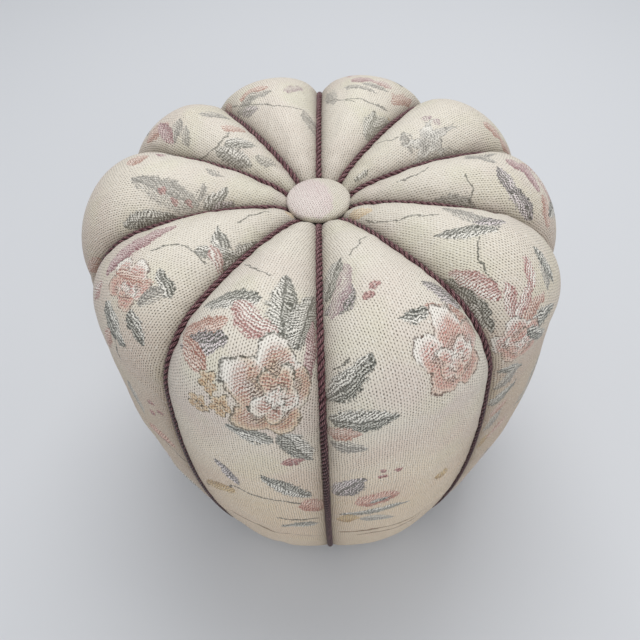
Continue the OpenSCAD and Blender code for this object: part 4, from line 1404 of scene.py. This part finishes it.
def fibre_group():
    """Fine hairs lying every way: 1 on a hair, 0 between."""
    tree, place, result = effect_group("fibres", "Length", "Hairs")
    one, two, three = (
        abs(noise(mapped(place, Rotation=way, Scale=(6.0, 6.0, 0.8)), 1.0, 1.0) - 0.5).fade(0.01, 0.05)
        for way in ((0.3, 0.2, 0.9), (1.4, 0.8, 0.1), (0.2, 1.5, 2.2)))
    plug(one.math("MAXIMUM", two).math("MAXIMUM", three), result["Hairs"])
    return tree


def grain_group():
    """Long figure of wood along Z, dark streaks and short pores, for the width of a ring."""
    tree, place, result = effect_group("grain", "Width", "Rings", "Streaks", "Pores")
    long_way = mapped(place, Scale=(1.0, 1.0, 0.06))
    plug(((noise(long_way, 0.25) * 60.0).math("SINE") + 1) * 0.5, result["Rings"])
    plug(noise(long_way, 4.0), result["Streaks"])
    plug(noise(long_way, 14.0, 1.0).fade(0.7, 0.62), result["Pores"])
    return tree


effects = {"mottle": mottle_group(), "fibres": fibre_group(), "grain": grain_group()}
print("shared effects:", ", ".join(effects))

# %% A finish from its look
def effect(name, place, **sizes):
    """One of the shared groups over a place; gives its outputs by name."""
    return outputs(node(place.tree, "Group", {"Place": place, **sizes}, node_tree=effects[name]))


def finish(name, look, mottle, *sizes, sheen=0.0, roughness=0.6, specular=0.25, metallic=0.0):
    """A material painted by a look, from the place on the object and its mottle."""
    material, shader = new_material(name, sheen, roughness, specular, metallic)
    place = node(material.node_tree, "TexCoord", {}, "Object")
    paint(shader, *look(place, effect("mottle", place, Size=mottle), *sizes))
    return material


# %% Wadding, foam and cambric
cambric_thread = 0.0008


def wadding(place, spots):
    """Polyester wadding: white hairs over a greyer ground, painted shade between the hairs, yellowed
    in places.
    """
    hairs = effect("fibres", place, Length=0.005)["Hairs"]
    # The grey ground under the hairs is painted shade, turning yellowed in places.
    ground = mixed(spots["Cloud"], "#d6d4cc", "#ece6d4")
    return mixed(hairs * 0.8, ground, "#f8f7f3"), hairs + spots["Fine"] * 1.2, 0.6, 0.0006


def foam(place, spots):
    """Open-cell foam: pale walls round darker cells, painted shade in the pores, browner where air has
    reached it.
    """
    wall = node(place.tree, "TexVoronoi", {"Vector": place, "Scale": 850.0}, "Distance",
                feature="DISTANCE_TO_EDGE").fade(0.04, 0.3)
    aged = spots["Cloud"].fade(0.62, 0.42)
    # Darker inside each cell: painted shade in the pores.
    colour = mixed(wall, mixed(aged, "#bea870", "#a88854"), mixed(aged, "#eedea6", "#dec080"))
    return colour, wall, 0.7, 0.0004


def cambric(place, spots):
    """Black cambric: a fine plain weave, near black in the gaps between threads as painted shade, with
    grey dust and lint on it.
    """
    x, y, _ = split(place.vector("SCALE", Scale=math.pi / cambric_thread))
    over = x.math("SINE") * y.math("SINE")
    # Near black between the threads: painted shade.
    painted_gap_shade = abs(x.math("COSINE")).math("MAXIMUM", abs(y.math("COSINE"))).fade(0.35, 0.15)
    lint = effect("fibres", place, Length=0.009)["Hairs"] * spots["Fine"].fade(0.62, 0.56)
    colour = mixed(over * 0.5 + 0.5, "#1e1d1f", "#3e3c3d")
    colour = mixed(spots["Cloud"].fade(0.68, 0.45) * 0.3, colour, "#7c7468")
    colour = mixed(painted_gap_shade * 0.8, "#0e0d0e", mixed(lint * 0.5, colour, "#b0aaa0"))
    return colour, over + spots["Fine"] * 0.4, 0.5, 0.0002


for softs, material in (
        ((*wadding_rolls, button_wadding),
         finish("wadding_fibre", wadding, 0.03, sheen=0.4, roughness=0.95)),
        ((foam_disc, foam_band), finish("foam_cells", foam, 0.05, sheen=0.15, roughness=0.9)),
        ([dust_cloth], finish("black_cambric", cambric, 0.035, sheen=0.25, roughness=0.85))):
    for soft in softs:
        soft.data.materials.append(material)
    print("%s: on %d" % (material.name, len(softs)))

# %% [markdown]
# ## Wood, hardboard, metal, twine and plastic
#
# These solids keep their shapes from the frame and only get a better finish. The grain group runs
# along Z, so a Mapping node turns it along each board or peg. Plywood also shows its plies where
# it is cut: the height in the board, counted in plies, says which way the grain of each one runs.

# %% Plywood, pine and hardboard
ply_t = 0.003
along_x, along_y, along_z = (0, -math.pi / 2, 0), (math.pi / 2, 0, 0), (0.0, 0.0, 0.0)


def bare_wood(place, ring, spots, light, dark):
    """Figure, streaks, pores and stains of bare wood."""
    figure = effect("grain", place, Width=ring)
    colour = mixed(figure["Rings"] * 0.45 + figure["Streaks"] * 0.4, light, dark)
    colour = mixed(figure["Pores"] * 0.5, colour, "#604228")
    colour = mixed(spots["Cloud"].fade(0.7, 0.45) * 0.25, colour, "#806446")
    return (colour, figure["Streaks"] - figure["Pores"], 0.3, 0.0002,
            figure["Streaks"] * 0.25 + 0.5)


def plywood(place, spots, bottom):
    """Birch plywood whose lowest face lies at a height."""
    _, _, height = split(place)
    layer = (height - bottom) / ply_t + 0.3
    crossed = (layer * 0.5).math("FRACT").fade(0.51, 0.49)
    glue = abs(layer.math("FRACT") - 0.5).fade(0.47, 0.44)
    way = node(place.tree, "Mix", {0: crossed, 4: mapped(place, Rotation=along_x),
                                   5: mapped(place, Rotation=along_y)}, 1, data_type="VECTOR")
    colour, *rest = bare_wood(way, 0.006, spots, "#e2c8a0", "#ba9468")
    colour = mixed(glue * 0.7, mixed(crossed * 0.25, colour, "#96704a"), "#5c3e28")
    return (colour, *rest)


def pine(place, spots, turn, ring):
    """Softwood with the grain along a piece."""
    return bare_wood(mapped(place, Rotation=turn), ring, spots, "#eace9e", "#c49460")


def hardboard(place, spots):
    """Hardboard: pressed brown fibre, nearly smooth, with pale and dark hairs in it."""
    hairs = effect("fibres", place, Length=0.003)["Hairs"]
    colour = mixed(hairs * 0.5, mixed(spots["Cloud"], "#846444", "#a4805a"), "#ba9a74")
    colour = mixed(spots["Specks"] * 0.6, colour, "#543a26")
    return colour, hairs + spots["Fine"], 0.35, 0.0001, spots["Fine"] * 0.3 + 0.4


# %% Zinc, twine and plastic
twine_pitch = 0.0022


def zinc(place, spots):
    """Zinc on steel: crystals of slightly different greys, dull clouds and rare rust."""
    facet, _, _ = split(node(place.tree, "TexVoronoi", {"Vector": place, "Scale": 700.0}, "Color"))
    rust = spots["Specks"]
    colour = mixed(facet * 0.6 + spots["Cloud"] * 0.4, "#acb0b6", "#dcdee2")
    colour = mixed(spots["Fine"].fade(0.66, 0.5) * 0.35, colour, "#8c8e90")
    colour = mixed(rust * 0.8, colour, "#7e4e30")
    return (colour, spots["Fine"] + facet * 0.3, 0.3, 0.0001,
            spots["Fine"] * 0.3 + facet * 0.08 + rust * 0.4 + 0.2)


def twine(place, spots):
    """Waxed tufting twine: slanting strands, painted shade between them, with a dull waxy shine."""
    x, y, z = split(place)
    strand = abs(((z + x * 0.8 + y * 0.8) * (math.pi / twine_pitch)).math("SINE"))
    # Darker between the strands: painted shade.
    colour = mixed(strand, "#968a70", "#e6dcc2")
    colour = mixed(spots["Cloud"].fade(0.66, 0.5) * 0.3, colour, "#b09c76")
    return colour, strand + spots["Fine"] * 0.3, 0.6, 0.0003, spots["Fine"] * 0.3 + 0.35


def plastic(place, spots):
    """Moulded plastic: faint flow marks, a fine orange peel, and scuffs where it meets the floor."""
    _, _, height = split(place)
    scuffed = height.fade(0.0006, 0.0022) * spots["Fine"].fade(0.5, 0.35)
    colour = mixed(scuffed * 0.6, mixed(spots["Cloud"], "#46342a", "#5c4638"), "#968676")
    return colour, spots["Fine"], 0.25, 0.0001, scuffed * 0.3 + spots["Fine"] * 0.2 + 0.3


# %% Finishes on the solids of the frame
for names, material in (
        (["base_board"],
         finish("birch_plywood_base", plywood, 0.08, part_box("base_board")[0][2])),
        (["top_board"], finish("birch_plywood_top", plywood, 0.08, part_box("top_board")[0][2])),
        (["side_wall"], finish("pressed_hardboard", hardboard, 0.03, roughness=0.55)),
        (["post_1", "post_2", "post_3", "post_4"],
         finish("pine_post", pine, 0.05, along_z, 0.005)),
        (["twine_toggle"], finish("pine_toggle", pine, 0.05, along_y, 0.003)),
        (["post_screws", "wall_tacks", "hem_tacks", "dust_staples", "glide_nails",
          "button_mould", "button_back", "button_eye"],
         finish("bright_zinc", zinc, 0.012, roughness=0.4, specular=0.5, metallic=1.0)),
        (["button_twine"], finish("waxed_twine", twine, 0.01, sheen=0.2, roughness=0.55)),
        (["glide_1", "glide_2", "glide_3", "glide_4"],
         finish("moulded_plastic", plastic, 0.009, roughness=0.5, specular=0.5))):
    for name in names:
        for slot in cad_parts[name].material_slots:
            slot.material = material
    print("%s: on %d" % (material.name, len(names)))

# %% [markdown]
# ## What each piece stands for
#
# Every piece rides on the one body and takes the place of its plain solid, which is hidden.

# %% Riding and replacing
def dress(piece, finish, *nodes):
    """One piece that stands for nodes of the frame."""
    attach(piece, "root")
    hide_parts(*nodes)


for g in range(gores):
    dress(covers[g], "tapestry", "gore_%d" % (g + 1))
    dress(wadding_rolls[g], "wadding", "stuffing_%d" % (g + 1))
    dress(cords[g], "cord", "seam_cord_%d" % (g + 1))
dress(foam_disc, "foam", "top_pad")
dress(foam_band, "foam", "side_pad")
dress(button, "tapestry", "button_cover")
dress(button_wadding, "wadding", "button_wadding")
dress(dust_cloth, "dust_cloth", "dust_cover")
pieces = [*covers, *wadding_rolls, *cords, foam_disc, foam_band, button, button_wadding, dust_cloth]
print("pieces made: %d, with %d faces" % (len(pieces), sum(len(x.data.polygons) for x in pieces)))
